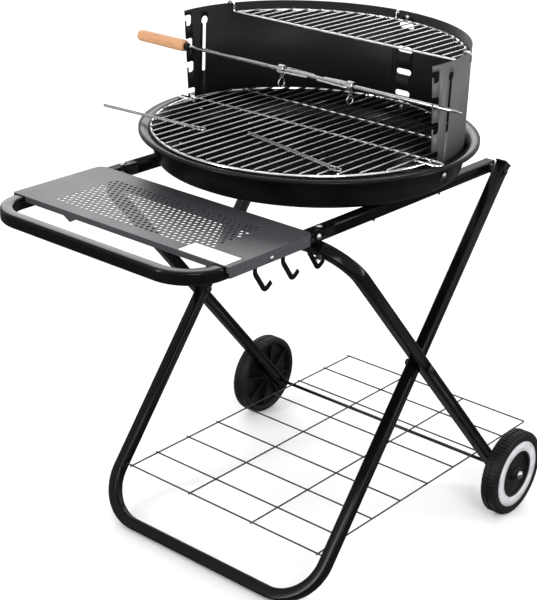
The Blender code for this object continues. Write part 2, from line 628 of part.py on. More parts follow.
def screen_half(name, sy, radius, a_back):
    """sy: side.  The sheet runs from behind the middle round to past the side."""
    a_free = 98.0
    lo, hi = (-a_free, a_back) if sy < 0 else (-a_back, a_free)
    bm = bmesh.new()
    v0 = bm.verts.new((radius, 0, SCREEN_TOP))
    v1 = bm.verts.new((radius, 0, SCREEN_BOTTOM))
    bm.edges.new((v0, v1))
    o = mesh_object(name, bm, Matrix.Rotation(math.radians(lo), 4, "Z"))
    s = o.modifiers.new("bend", "SCREW")
    s.axis = "Z"
    s.angle = math.radians(hi - lo)
    s.steps = s.render_steps = 22
    s.use_merge_vertices = True
    s.merge_threshold = 0.00001
    s.use_smooth_shade = True
    so = o.modifiers.new("sheet", "SOLIDIFY")
    so.thickness = SCREEN_T
    so.offset = 0.0
    so.use_even_offset = True
    bake(o)
    o.data.transform(o.matrix_world)
    o.matrix_world = Matrix.Identity(4)

    y0, y1 = sorted((sy * 0.225, sy * 0.260))
    # leaning free edge
    bm = bmesh.new()
    add_box(bm, (-0.080, y0, SCREEN_BOTTOM - 0.01), (0.0, y1, SCREEN_TOP + 0.01))
    for v in bm.verts:
        if v.co.x > -0.04:
            v.co.x = edge_x(v.co.z)
    cut(o, cutter(name + "_edge", bm))
    # four hooked notches: an open mouth above a pocket behind a lip
    bm = bmesh.new()
    for k in range(4):
        z = NOTCH_Z0 + k * NOTCH_STEP if k else FLANGE_TOP + 0.0001
        e = edge_x(z + 0.009)
        pts = [(e - 0.010, z + LIP_H + 0.0010), (e + LIP_W - 0.0012, z + LIP_H + 0.0010), (e + LIP_W, z + LIP_H - 0.0002),
               (e + LIP_W, z + 0.0015), (e + LIP_W + 0.0015, z), (e + NOTCH_DEPTH - 0.003, z),
               (e + NOTCH_DEPTH, z + 0.003), (e + NOTCH_DEPTH, z + NOTCH_H - 0.003),
               (e + NOTCH_DEPTH - 0.003, z + NOTCH_H), (e - 0.010, z + NOTCH_H)]
        f = bm.faces.new([bm.verts.new((x, y0, zz)) for x, zz in pts])
        r = bmesh.ops.extrude_face_region(bm, geom=[f])
        for v in [g for g in r["geom"] if isinstance(g, bmesh.types.BMVert)]:
            v.co.y = y1
    bmesh.ops.recalc_face_normals(bm, faces=bm.faces)
    cut(o, cutter(name + "_notches", bm))
    # keyhole: round hole with a long slot below it
    bm = bmesh.new()
    kx, kz, kr, kw, kb = 0.0200, 0.8210, 0.0070, 0.0035, 0.7350
    a0 = math.asin(kw / kr)
    pts = [(kx + kr * math.sin(t), kz - kr * math.cos(t)) for t in
           [a0 + (2 * math.pi - 2 * a0) * i / 12 for i in range(13)]]
    pts += [(kx - kw, kb + 0.0025), (kx - kw * 0.6, kb + 0.0005), (kx + kw * 0.6, kb + 0.0005), (kx + kw, kb + 0.0025)]
    f = bm.faces.new([bm.verts.new((x, y0, zz)) for x, zz in pts])
    r = bmesh.ops.extrude_face_region(bm, geom=[f])
    for v in [g for g in r["geom"] if isinstance(g, bmesh.types.BMVert)]:
        v.co.y = y1
    bmesh.ops.recalc_face_normals(bm, faces=bm.faces)
    cut(o, cutter(name + "_keyhole", bm))
    # four oblong slots through the overlap at the back, a notch for the rack's rear hook, screw holes
    bm = bmesh.new()
    for zz in (0.8205, 0.7800, 0.7420, 0.7050):
        pts = []
        for cy, a0 in ((0.0105, -90), (-0.0105, 90)):
            pts += [(cy + math.copysign(1, cy) * 0.005 * math.cos(math.radians(a)), zz + 0.005 * math.sin(math.radians(a)))
                    for a in ([-90, -45, 0, 45, 90] if cy > 0 else [90, 45, 0, -45, -90])]
        f = bm.faces.new([bm.verts.new((0.225, yy - 0.0060, z)) for yy, z in pts])
        r = bmesh.ops.extrude_face_region(bm, geom=[f])
        for v in [g for g in r["geom"] if isinstance(g, bmesh.types.BMVert)]:
            v.co.x = 0.260
    bmesh.ops.recalc_face_normals(bm, faces=bm.faces)
    add_box(bm, (0.225, 0.0115, SCREEN_TOP - 0.0052), (0.260, 0.0175, SCREEN_TOP + 0.010))
    for zz in (0.8348, 0.6820):
        add_rod(bm, (0.225, -0.0060, zz), (0.260, -0.0060, zz), 0.0022, 10)
    cut(o, cutter(name + "_back", bm))
    drill(o, [((SCREEN_SCREW.x, sy * 0.2450, SCREEN_SCREW.z), Y, 0.0024, 0.012)])
    place(o, "screen_grey")
    return o


screen_half("windscreen_near", -1, SCREEN_R - SCREEN_T / 2 - GAP / 2, 4.4)
screen_half("windscreen_far", 1, SCREEN_R + SCREEN_T / 2 + GAP / 2, 6.8)
for tag, zz in (("top", 0.8348), ("bottom", 0.6820)):
    bolt("windscreen_screw_" + tag, (SCREEN_R - SCREEN_T - GAP / 2 - 0.0002, -0.0060, zz), (-1, 0, 0), 0.0024, r=0.0018, over=0.0006,
         head_r=0.0040, head_h=0.0022, nut_r=0.0036, nut_h=0.0018)
for side, sy in (("near", -1), ("far", 1)):
    bolt("screen_screw_" + side, (SCREEN_SCREW.x, sy * 0.2507, SCREEN_SCREW.z), (0, sy, 0), 0.0072, r=0.0019,
         head_r=0.0050, head_h=0.0028, nut_r=0.0036, nut_h=0.0022)

# ------------------------------------------------------------------ cooking grate
ring_z = FLANGE_TOP + GAP + 0.0020
bar_z = ring_z + 0.0030
wire_z = ring_z + 0.0002
bm = bmesh.new()
i = 0.5
while i * GRATE_PITCH < GRATE_R - 0.012:
    for sgn in (-1, 1):
        y = sgn * i * GRATE_PITCH
        h = math.sqrt(GRATE_R ** 2 - y * y)
        add_rod(bm, (GRATE_X - h, y, bar_z), (GRATE_X + h, y, bar_z), 0.0016, 4)
    i += 1
bars = mesh_object("bars", bm)
grate = wire("cooking_grate", [(GRATE_X + GRATE_R * math.cos(t), GRATE_R * math.sin(t), ring_z)
                               for t in [2 * math.pi * (k + 0.5) / 44 for k in range(44)]], 0.0020, True)
loop_pts = []
for sy in (-1, 1):
    loop_pts.append(fillet([(CROSS_WIRE_X, 0, wire_z), (CROSS_WIRE_X, sy * 0.2625, wire_z),
                            (CROSS_WIRE_X - 0.0190, sy * 0.2625, wire_z), (CROSS_WIRE_X - 0.0190, sy * 0.2215, wire_z)],
                           [0.008, 0.008], 3))
carry = wire("carry_wire", list(reversed(loop_pts[0])) + loop_pts[1][1:], 0.0020)
bm = bmesh.new()
hb = math.sqrt(GRATE_R ** 2 - (0.090 - GRATE_X) ** 2)
add_rod(bm, (0.090, -hb, ring_z + 0.0002), (0.090, hb, ring_z + 0.0002), 0.0020, 6)
brace = mesh_object("brace", bm)
unite(grate, bars, carry, brace)
lift_empty = joint_empty("grate_lift_axis", (GRATE_X, 0, wire_z))
place(smooth(grate), "chrome", lift_empty)

# ------------------------------------------------------------------ warming rack
a_end = math.acos(RACK_CHORD / RACK_R)
arc = [(RACK_R * math.cos(t), RACK_R * math.sin(t), RACK_Z)
       for t in [-a_end + 2 * a_end * k / 22 for k in range(23)]]
rack = wire("warming_rack", arc, 0.0018)
y_e = RACK_R * math.sin(a_end)
y_s = math.sqrt((SCREEN_R + 0.0012) ** 2 - RACK_CHORD ** 2)
hook_z = SCREEN_TOP + GAP + 0.0018
front = fillet([(RACK_CHORD, -(y_s + 0.0060), RACK_Z + 0.0020), (RACK_CHORD, -(y_s + 0.0060), hook_z),
                (RACK_CHORD, -(y_e + 0.0040), hook_z), (RACK_CHORD, -(y_e + 0.0040), RACK_Z + 0.0002),
                (RACK_CHORD, y_e + 0.0040, RACK_Z + 0.0002), (RACK_CHORD, y_e + 0.0040, hook_z),
                (RACK_CHORD, y_s + 0.0060, hook_z), (RACK_CHORD, y_s + 0.0060, RACK_Z + 0.0020)],
               [0.004, 0.004, 0.004, 0.004, 0.004, 0.004], 2)
chord = wire("chord", front, 0.0018)
bm = bmesh.new()
add_rod(bm, (RACK_CHORD, -y_e, RACK_Z), (RACK_CHORD, y_e, RACK_Z), 0.0014, 6)
tie = mesh_object("tie", bm)
rear = fillet([(RACK_R - 0.0130, 0.0145, RACK_Z), (RACK_R + 0.0040, 0.0145, RACK_Z), (RACK_R + 0.0040, 0.0145, SCREEN_TOP - 0.0028),
               (SCREEN_R + 0.0060, 0.0145, SCREEN_TOP - 0.0028), (SCREEN_R + 0.0060, 0.0145, RACK_Z + 0.0010)],
              [0.003, 0.003, 0.003], 2)
rear_hook = wire("rear_hook", rear, 0.0016)
bm = bmesh.new()
i = 0.5
pitch = 0.0180
while i * pitch < y_e - 0.014:
    for sgn in (-1, 1):
        y = sgn * i * pitch
        add_rod(bm, (RACK_CHORD, y, RACK_Z + 0.0021), (math.sqrt(RACK_R ** 2 - y * y), y, RACK_Z + 0.0021), 0.0013, 4)
    i += 1
rbars = mesh_object("rbars", bm)
unite(rack, chord, rbars, rear_hook, tie)
rack_empty = joint_empty("rack_lift_axis", (0.16, 0, RACK_Z))
place(smooth(rack), "chrome", rack_empty)

# ------------------------------------------------------------------ rotisserie spit
spit_empty = joint_empty("spit_axis", (SPIT_X, 0, SPIT_Z))
along = aligned((SPIT_X, 0, SPIT_Z), (0, 1, 0), (0, 0, 1))
# heights along local Z are world Y
rod_prof = [(0.0, 0.3400), (SPIT_R - 0.0002, 0.3400), (SPIT_R, 0.3395), (SPIT_R, -0.2700), (0.0006, -0.2900), (0.0, -0.2902)]
place(lathe("spit_rod", rod_prof, along, 10), "chrome", spit_empty)
fer = [(SPIT_R + GAP, 0.2540), (0.0064, 0.2540), (0.0066, 0.2532), (0.0056, 0.2490), (0.0050, 0.2478), (SPIT_R + GAP, 0.2478)]
place(ring_lathe("spit_ferrule", fer, along, 12), "black_gloss", spit_empty)
HB = SPIT_R + GAP
handle_prof = [(0.0, 0.3610), (0.0062, 0.3606), (0.0086, 0.3588), (0.0096, 0.3550), (0.0097, 0.3400), (0.0096, 0.3200),
               (0.0098, 0.3000), (0.0100, 0.2800), (0.0099, 0.2620), (0.0092, 0.2560), (0.0078, 0.2544),
               (HB, 0.2543), (HB, 0.3404), (0.0, 0.3404)]
place(lathe("spit_handle", handle_prof, along, 12), "beech", spit_empty)

for tag, fy, d in (("left", FORK_Y[0], -1), ("right", FORK_Y[1], 1)):
    slide = joint_empty("fork_slide_" + tag, (SPIT_X, fy, SPIT_Z))
    # collar with a bore for the rod and a threaded hole for the screw
    col = ring_lathe("spit_fork_" + tag,
                     [(SPIT_R + GAP, fy + 0.0060), (0.0068, fy + 0.0060), (0.0075, fy + 0.0052),
                      (0.0075, fy - 0.0052), (0.0068, fy - 0.0060), (SPIT_R + GAP, fy - 0.0060)], along, 12)
    bake(col)
    r_t = 0.0100
    tines = []
    for sgn in (-1, 1):
        y_tip = fy + d * 0.058
        pts = fillet([(SPIT_X + sgn * 0.0058, fy, SPIT_Z), (SPIT_X + sgn * (r_t + 0.0040), fy, SPIT_Z),
                      (SPIT_X + sgn * r_t, y_tip, SPIT_Z)], [0.004], 2)
        tines.append(wire("tine", pts, 0.0014))
    unite(col, *tines)
    drill(col, [((SPIT_X, fy, SPIT_Z - 0.0060), Z, 0.0022, 0.0100)], 10)
    place(smooth(col), "chrome", slide)
    # thumbscrew: short shank with a ring to turn it by
    turn = joint_empty("thumbscrew_axis_" + tag, (SPIT_X, fy, SPIT_Z - 0.014))
    shank = lathe("fork_thumbscrew_" + tag,
                  [(0.0, -0.0034), (0.0019, -0.0034), (0.0019, -0.0090), (0.0030, -0.0098), (0.0030, -0.0130),
                   (0.0017, -0.0145), (0.0, -0.0150)], Matrix.Translation((SPIT_X, fy, SPIT_Z)), 10)
    bake(shank)
    bpy.ops.mesh.primitive_torus_add(major_segments=14, minor_segments=5, major_radius=0.0075, minor_radius=0.0013,
                                     location=(SPIT_X, fy, SPIT_Z - 0.0212), rotation=(math.radians(90), 0, 0))
    eye = bpy.context.object
    unite(shank, eye)
    place(smooth(shank), "chrome", turn)

# ------------------------------------------------------------------ two-pronged skewers on the grate
sk_z = bar_z + 0.0016 + GAP + 0.0013
for tag, tip, eye in (("left", (-0.1650, 0.2970), (-0.1490, 0.0920)), ("right", (-0.1110, 0.0340), (-0.1580, -0.1800))):
    t, e = Vector((*tip, 0)), Vector((*eye, 0))
    u = (e - t).normalized()
    w = Vector((-u.y, u.x, 0))
    pts = [t + w * 0.0030, e - u * 0.020 + w * 0.0030, e - u * 0.014 + w * 0.0060, e + w * 0.0060,
           e + u * 0.0055, e - w * 0.0060, e - u * 0.014 - w * 0.0060, e - u * 0.020 - w * 0.0030, t + u * 0.006 - w * 0.0030]
    pts = fillet([Vector((p.x, p.y, sk_z)) for p in pts], [0.010, 0.006, 0.004, 0.004, 0.004, 0.006, 0.010], 2)
    sk = wire("skewer_" + tag, pts, 0.0013)
    mid = (t + e) / 2
    place(smooth(sk), "chrome", joint_empty("skewer_lift_" + tag, (mid.x, mid.y, sk_z)))

# ------------------------------------------------------------------ wire shelf
cross_z = SHELF_Z + 2 * WIRE_R - 0.0006
bm = bmesh.new()
for y in (-SHELF_HALF, -0.0685, 0.0685, SHELF_HALF):
    add_rod(bm, (SHELF_FRONT_X - 0.0012, y, SHELF_Z), (SHELF_REAR_X + 0.0012, y, SHELF_Z), WIRE_R, 6)
shelf = mesh_object("wire_shelf", bm)
bm = bmesh.new()
step = (SHELF_REAR_X + 0.1290) / 7
for x in [-0.1290 + k * step for k in range(8)]:
    add_rod(bm, (x, -SHELF_HALF - 0.0012, cross_z), (x, SHELF_HALF + 0.0012, cross_z), WIRE_R, 6)
add_rod(bm, (SHELF_FRONT_X, -SHELF_STUB, cross_z), (SHELF_FRONT_X, SHELF_STUB, cross_z), WIRE_R, 6)
rungs = mesh_object("rungs", bm)
unite(shelf, rungs)
place(smooth(shelf), "zinc")

# ------------------------------------------------------------------ axle and wheels
ax_m = aligned((AXLE_X, 0, AXLE_Z), (0, 1, 0))
place(lathe("wheel_axle", [(0, 0.3030 + FAR_FLOAT), (AXLE_R, 0.3030 + FAR_FLOAT), (AXLE_R, -0.3030), (0, -0.3030)], ax_m, 14), "zinc")
for side, sy in (("near", -1), ("far", 1)):
    spin = joint_empty("wheel_axis_" + side, (AXLE_X, sy * (WHEEL_IN + WHEEL_OUT) / 2, AXLE_Z))
    m = aligned((AXLE_X, FAR_FLOAT if sy > 0 else 0.0, AXLE_Z), (0, sy, 0))
    bore = AXLE_R + GAP
    prof = [(bore, WHEEL_OUT + 0.0005), (0.0120, WHEEL_OUT + 0.0005), (0.0150, WHEEL_OUT - 0.0015), (0.0160, WHEEL_OUT - 0.0080),
            (0.0380, WHEEL_OUT - 0.0080), (0.0400, WHEEL_OUT - 0.0020),
            (0.0610, WHEEL_OUT - 0.0020), (0.0625, WHEEL_OUT), (WHEEL_R - 0.0035, WHEEL_OUT),
            (WHEEL_R, WHEEL_OUT - 0.0050), (WHEEL_R, WHEEL_IN + 0.0050), (WHEEL_R - 0.0035, WHEEL_IN), (0.0650, WHEEL_IN),
            (0.0620, WHEEL_IN + 0.0080), (0.0200, WHEEL_IN + 0.0080), (0.0150, WHEEL_IN - 0.0050), (bore, WHEEL_IN - 0.0100)]
    wheel = ring_lathe("wheel_" + side, prof, m, 28)
    place(wheel, "plastic", spin)
    band = [(RING_IN, WHEEL_OUT - 0.0004), (RING_OUT, WHEEL_OUT - 0.0004), (RING_OUT, WHEEL_OUT - 0.0020 + GAP),
            (RING_IN, WHEEL_OUT - 0.0020 + GAP)]
    place(ring_lathe("wheel_ring_" + side, band, m, 28), "ring", spin)
    cap = [(0.0, 0.3062), (0.0035, 0.3058), (0.0068, 0.3040), (0.0078, 0.3012), (0.0078, WHEEL_OUT + 0.0009),
           (AXLE_R + GAP, WHEEL_OUT + 0.0009), (AXLE_R + GAP, 0.3034), (0.0, 0.3034)]
    place(lathe("axle_cap_" + side, cap, m, 12), "zinc")

for o in list(bpy.data.curves):
    if o.users == 0:
        bpy.data.curves.remove(o)
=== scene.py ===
"""The charcoal grill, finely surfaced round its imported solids.

Every solid is stood for by a finer piece of the same shape, which rides on
the same body.  Lengths are metres.  Pieces are laid out about the bowl's
centre line, as the solids were, and then moved by SHIFT into their place.
"""
import json
import math
import random

import bmesh
import bpy
from mathutils import Matrix, Vector

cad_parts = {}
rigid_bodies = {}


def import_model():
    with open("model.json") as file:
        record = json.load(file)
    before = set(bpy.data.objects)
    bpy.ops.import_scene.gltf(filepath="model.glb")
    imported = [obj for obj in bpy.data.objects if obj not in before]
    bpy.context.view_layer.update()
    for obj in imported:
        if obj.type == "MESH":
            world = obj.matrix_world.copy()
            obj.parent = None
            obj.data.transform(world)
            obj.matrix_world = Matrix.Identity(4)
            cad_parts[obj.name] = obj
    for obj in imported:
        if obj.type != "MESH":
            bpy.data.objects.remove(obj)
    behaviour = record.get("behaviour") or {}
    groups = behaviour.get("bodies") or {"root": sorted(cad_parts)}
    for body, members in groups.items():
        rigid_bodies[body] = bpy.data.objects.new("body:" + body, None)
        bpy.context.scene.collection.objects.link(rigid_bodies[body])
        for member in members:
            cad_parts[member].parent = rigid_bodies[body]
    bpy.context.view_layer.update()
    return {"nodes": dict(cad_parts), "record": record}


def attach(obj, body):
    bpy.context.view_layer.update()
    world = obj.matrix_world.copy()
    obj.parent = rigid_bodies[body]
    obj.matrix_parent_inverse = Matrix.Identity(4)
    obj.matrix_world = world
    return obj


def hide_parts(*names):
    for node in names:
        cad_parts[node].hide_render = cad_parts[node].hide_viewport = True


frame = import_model()
NODES = set(frame["nodes"])
BODY_OF = {n: b for b, ns in frame["record"]["behaviour"]["bodies"].items() for n in ns}

# ------------------------------------------------------------------ dimensions
GAP = 0.0003            # clearance between pieces that touch
TUBE = 0.0195           # outside width of the square frame tube
TUBE_R = 0.0036         # its corner radius
TUBE_WALL = 0.0011

OFFSET_X = 0.0360       # puts the bounding box middle over the origin
OFFSET_Y = -0.0274

# top frame
TOP_Z = 0.6259          # centre height of handle loop and side rails
LOOP_FRONT_X = -0.4897  # centre line of the handle's front bar
LOOP_TAIL_X = -0.1940      # the rails start here, with a stub inside the loop
LOOP_Y = 0.1970
LOOP_BEND = 0.058
RAIL_Y = 0.1970
RAIL_FRONT_X = -0.1937
STUB_X = -0.2440         # front end of the rail's reduced stub
RAIL_REAR_X = 0.2285

# legs
LEG_A_Y = 0.2263        # foot leg frame, inner U
LEG_B_Y = 0.2474        # wheel leg frame, outer U
FOOT_X, FOOT_Z = -0.2443, 0.0118
LEG_A_DIR = Vector((0.6000, 0.0, 0.8000))
LEG_A_BEND = 0.078
AXLE_X, AXLE_Z = 0.2567, 0.0765
CROSS_X, CROSS_Z = -0.2192, 0.6034
LEG_B_BEND = 0.064
LEG_B_TAIL = 0.016      # leg left below the axle

# wheels and axle
AXLE_R = 0.003
WHEEL_R = 0.0765
WHEEL_IN, WHEEL_OUT = 0.2680, 0.2970
RING_IN, RING_OUT = 0.0430, 0.0600
FAR_FLOAT = 0.0030      # the far wheel sits this much further out on the axle

# side table
TABLE_X0, TABLE_X1 = -0.4317, -0.2500
TABLE_HALF = 0.2130
TABLE_TOP = 0.6372
SHEET = 0.0010
TABLE_WALL = 0.0172
TABLE_LIP = 0.0088

# bowl
FLANGE_R, FLANGE_TOP = 0.2700, 0.6930
BOWL_BOTTOM = 0.6362

# windscreen
SCREEN_R = 0.2455
SCREEN_T = 0.0008
SCREEN_TOP, SCREEN_BOTTOM = 0.8438, 0.6670
NOTCH_Z0, NOTCH_STEP, NOTCH_H = 0.6990, 0.0394, 0.0180
NOTCH_DEPTH, LIP_W, LIP_H = 0.0160, 0.0040, 0.0080

# grates and spit
GRATE_X, GRATE_R = -0.0140, 0.2400
GRATE_PITCH = 0.0195
CROSS_WIRE_X = -0.0060
RACK_Z, RACK_R, RACK_CHORD = 0.8295, 0.2370, 0.0750
SPIT_X, SPIT_Z, SPIT_R = -0.0143, 0.7811, 0.0030
FORK_Y = (0.0480, -0.0880)

# wire shelf
SHELF_Z = 0.0814
SHELF_HALF = 0.2050
SHELF_FRONT_X, SHELF_REAR_X = -0.1936, 0.4260
WIRE_R = 0.0014

SHIFT = Matrix.Translation((OFFSET_X, OFFSET_Y, 0.0))
scene = bpy.context.scene
cutters = bpy.data.collections.new("cutters")
scene.collection.children.link(cutters)


# ------------------------------------------------------------------ materials
def shader(name, rgb, metallic=0.0, rough=0.5, spec=0.5, coat=0.0, coat_rough=0.1):
    m = bpy.data.materials.new(name)
    m.use_nodes = True
    b = m.node_tree.nodes["Principled BSDF"]
    b.inputs["Base Color"].default_value = (*rgb, 1.0)
    b.inputs["Metallic"].default_value = metallic
    b.inputs["Roughness"].default_value = rough
    b.inputs["Specular IOR Level"].default_value = spec
    b.inputs["Coat Weight"].default_value = coat
    b.inputs["Coat Roughness"].default_value = coat_rough
    return m, m.node_tree.nodes, m.node_tree.links, b


def noise(nodes, links, scale, detail=3.0, rough=0.5, stretch=(1, 1, 1)):
    """Noise in the object's own coordinates."""
    tc = nodes.new("ShaderNodeTexCoord")
    mp = nodes.new("ShaderNodeMapping")
    mp.inputs["Scale"].default_value = stretch
    links.new(tc.outputs["Object"], mp.inputs["Vector"])
    n = nodes.new("ShaderNodeTexNoise")
    n.inputs["Scale"].default_value = scale
    n.inputs["Detail"].default_value = detail
    n.inputs["Roughness"].default_value = rough
    links.new(mp.outputs["Vector"], n.inputs["Vector"])
    return n.outputs["Fac"]


def ramp(nodes, links, fac, stops):
    r = nodes.new("ShaderNodeValToRGB")
    els = r.color_ramp.elements
    while len(els) < len(stops):
        els.new(0.5)
    for e, (p, c) in zip(els, stops):
        e.position = p
        e.color = (c, c, c, 1.0) if not isinstance(c, tuple) else (*c, 1.0)
    links.new(fac, r.inputs["Fac"])
    return r.outputs["Color"]


def bump(nodes, links, b, height, strength, distance):
    n = nodes.new("ShaderNodeBump")
    n.inputs["Strength"].default_value = strength
    n.inputs["Distance"].default_value = distance
    links.new(height, n.inputs["Height"])
    links.new(n.outputs["Normal"], b.inputs["Normal"])


def painted(name, dark, light, rough, coat=0.0, speck=0.0, spec=0.5, metallic=0.0, peel=0.06, wear=0.0):
    """Sprayed paint: a faint mottle, slightly uneven gloss and orange peel."""
    m, ns, ln, b = shader(name, dark, metallic, rough, spec, coat, 0.08)
    tone = ramp(ns, ln, noise(ns, ln, 9.0, 3.0), [(0.35, dark), (0.75, light)])
    if speck:
        flake = ramp(ns, ln, noise(ns, ln, 2600.0, 1.0), [(0.35, 1.0 - speck), (0.75, 1.0 + speck)])
        mix = ns.new("ShaderNodeMix")
        mix.data_type = "RGBA"
        mix.blend_type = "MULTIPLY"
        mix.inputs["Factor"].default_value = 1.0
        ln.new(tone, mix.inputs[6])
        ln.new(flake, mix.inputs[7])
        tone = mix.outputs[2]
    ln.new(tone, b.inputs["Base Color"])
    ln.new(ramp(ns, ln, noise(ns, ln, 22.0, 3.0), [(0.3, max(rough - 0.02, 0.02)), (0.75, rough + 0.03)]), b.inputs["Roughness"])
    bump(ns, ln, b, noise(ns, ln, 620.0 if not speck else 1500.0, 2.0), peel, 0.0003)
    return m


def metal(name, rgb, rough, drawn=(1, 1, 1), spot=0.06):
    """Plated or drawn metal with fine lines and dull patches."""
    m, ns, ln, b = shader(name, rgb, 1.0, rough)
    lo = tuple(c * 0.72 for c in rgb)
    ln.new(ramp(ns, ln, noise(ns, ln, 90.0, 4.0, 0.6, drawn), [(0.3, lo), (0.62, rgb)]), b.inputs["Base Color"])
    ln.new(ramp(ns, ln, noise(ns, ln, 260.0, 3.0, 0.5, drawn), [(0.3, rough), (0.8, rough + spot * 2)]), b.inputs["Roughness"])
    bump(ns, ln, b, noise(ns, ln, 900.0, 2.0, 0.5, drawn), 0.10, 0.0002)
    return m


def moulded(name, rgb, rough, grain=1800.0, strength=0.22, spec=0.4):
    """Moulded plastic with a fine spark grain."""
    m, ns, ln, b = shader(name, rgb, 0.0, rough, spec)
    hi = tuple(min(1.0, c * 1.5 + 0.004) for c in rgb)
    ln.new(ramp(ns, ln, noise(ns, ln, 60.0, 4.0), [(0.3, rgb), (0.85, hi)]), b.inputs["Base Color"])
    ln.new(ramp(ns, ln, noise(ns, ln, 120.0, 2.0), [(0.3, rough - 0.06), (0.8, rough + 0.08)]), b.inputs["Roughness"])
    bump(ns, ln, b, noise(ns, ln, grain, 2.0), strength, 0.0003)
    return m


def beech(name):
    """Turned beech: long pale grain with short darker flecks."""
    m, ns, ln, b = shader(name, (0.56, 0.30, 0.15), 0.0, 0.48, 0.35, 0.12, 0.30)
    long = noise(ns, ln, 120.0, 5.0, 0.6, (1.0, 0.06, 1.0))
    fleck = noise(ns, ln, 620.0, 2.0, 0.5, (1.0, 0.22, 1.0))
    c1 = ramp(ns, ln, long, [(0.32, (0.40, 0.19, 0.085)), (0.52, (0.55, 0.29, 0.145)), (0.74, (0.62, 0.35, 0.19))])
    c2 = ramp(ns, ln, fleck, [(0.30, (0.62, 0.38, 0.20)), (0.40, (1.0, 1.0, 1.0))])
    mix = ns.new("ShaderNodeMix")
    mix.data_type = "RGBA"
    mix.blend_type = "MULTIPLY"
    mix.inputs["Factor"].default_value = 0.55
    ln.new(c1, mix.inputs[6])
    ln.new(c2, mix.inputs[7])
    ln.new(mix.outputs[2], b.inputs["Base Color"])
    bump(ns, ln, b, long, 0.25, 0.0004)
    return m


FINISH = {
    "black_gloss": painted("black_gloss_paint", (0.0022, 0.0022, 0.0024), (0.0034, 0.0034, 0.0036), 0.17, spec=0.13),
    "black_enamel": painted("black_enamel", (0.0034, 0.0034, 0.0036), (0.0050, 0.0050, 0.0053), 0.27, spec=0.13),
    "grey_paint": painted("grey_paint", (0.048, 0.051, 0.056), (0.057, 0.060, 0.066), 0.42, 0.0, 0.25, 0.4, 0.25, 0.16),
    # the windscreen's inside is painted near-black as painted shade for the hollow of the screen; the sheet's own grey
    # is the outside finish on the next line
    "screen_grey": painted("screen_inside", (0.0085, 0.0085, 0.0089), (0.0105, 0.0105, 0.0110), 0.46, spec=0.14),
    "screen_outer": painted("screen_outside", (0.082, 0.085, 0.089), (0.094, 0.097, 0.102), 0.50, 0.0, 0.25, 0.35, 0.15, 0.14),
    "paper": moulded("label_paper", (0.80, 0.80, 0.79), 0.55, 900.0, 0.05),
    "chrome": metal("chrome_wire", (0.70, 0.70, 0.71), 0.13),
    "bright_steel": metal("bright_steel", (0.44, 0.44, 0.45), 0.16),
    "steel": metal("dull_steel", (0.30, 0.30, 0.305), 0.20),
    "zinc": metal("bright_zinc", (0.50, 0.51, 0.53), 0.26),
    "shelf_wire": metal("drawn_shelf_wire", (0.045, 0.045, 0.048), 0.34),
    "plastic": moulded("black_plastic", (0.0055, 0.0055, 0.0058), 0.42, spec=0.2),
    "tyre": moulded("tyre_plastic", (0.0036, 0.0036, 0.0038), 0.48, 1200.0, 0.22, 0.22),
    "ring": moulded("ring_band", (0.40, 0.405, 0.42), 0.42, 2200.0, 0.08),
    "beech": beech("turned_beech"),
}


# ------------------------------------------------------------------ helpers
def place(obj, finish, node=None, rides=None, look=None):
    """Freeze the piece, move it into its place, finish it and let it stand for its solid."""
    name = obj.name.split(".")[0]
    if node is None and name in NODES:
        node = name
    if obj.type != "MESH" or obj.modifiers:
        obj = bake(obj)
    obj.data.transform(SHIFT @ obj.matrix_world)
    obj.matrix_world = Matrix.Identity(4)
    obj.data.materials.clear()
    for f in [finish] if isinstance(finish, str) else finish:
        obj.data.materials.append(FINISH[f])
    obj.name = (name if node is None else node) + "_fine"
    if node is not None:
        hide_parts(node)
    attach(obj, rides or BODY_OF[node])
    return obj


def mesh_object(name, bm, matrix=None):
    me = bpy.data.meshes.new(name)
    bm.to_mesh(me)
    bm.free()
    o = bpy.data.objects.new(name, me)
    if matrix is not None:
        o.matrix_world = matrix
    scene.collection.objects.link(o)
    return o


def aligned(p, axis, xhint=None):
    """Matrix at p with local Z along axis."""
    z = Vector(axis).normalized()
    x = Vector(xhint) if xhint is not None else (Vector((1, 0, 0)) if abs(z.x) < 0.9 else Vector((0, 1, 0)))
    y = z.cross(x).normalized()
    x = y.cross(z).normalized()
    m = Matrix((x, y, z)).transposed().to_4x4()
    m.translation = Vector(p)
    return m


def add_rod(bm, p0, p1, r, sides=14):
    p0, p1 = Vector(p0), Vector(p1)
    m = aligned((p0 + p1) / 2, p1 - p0)
    bmesh.ops.create_cone(bm, cap_ends=True, segments=sides, radius1=r, radius2=r,
                          depth=(p1 - p0).length, matrix=m)


def add_box(bm, lo, hi):
    lo, hi = Vector(lo), Vector(hi)
    m = Matrix.Translation((lo + hi) / 2) @ Matrix.Diagonal((hi.x - lo.x, hi.y - lo.y, hi.z - lo.z, 1.0))
    bmesh.ops.create_cube(bm, size=1.0, matrix=m)


def smooth(obj, angle=35.0):
    obj.data.shade_smooth()
    obj.data.set_sharp_from_angle(angle=math.radians(angle))
    return obj


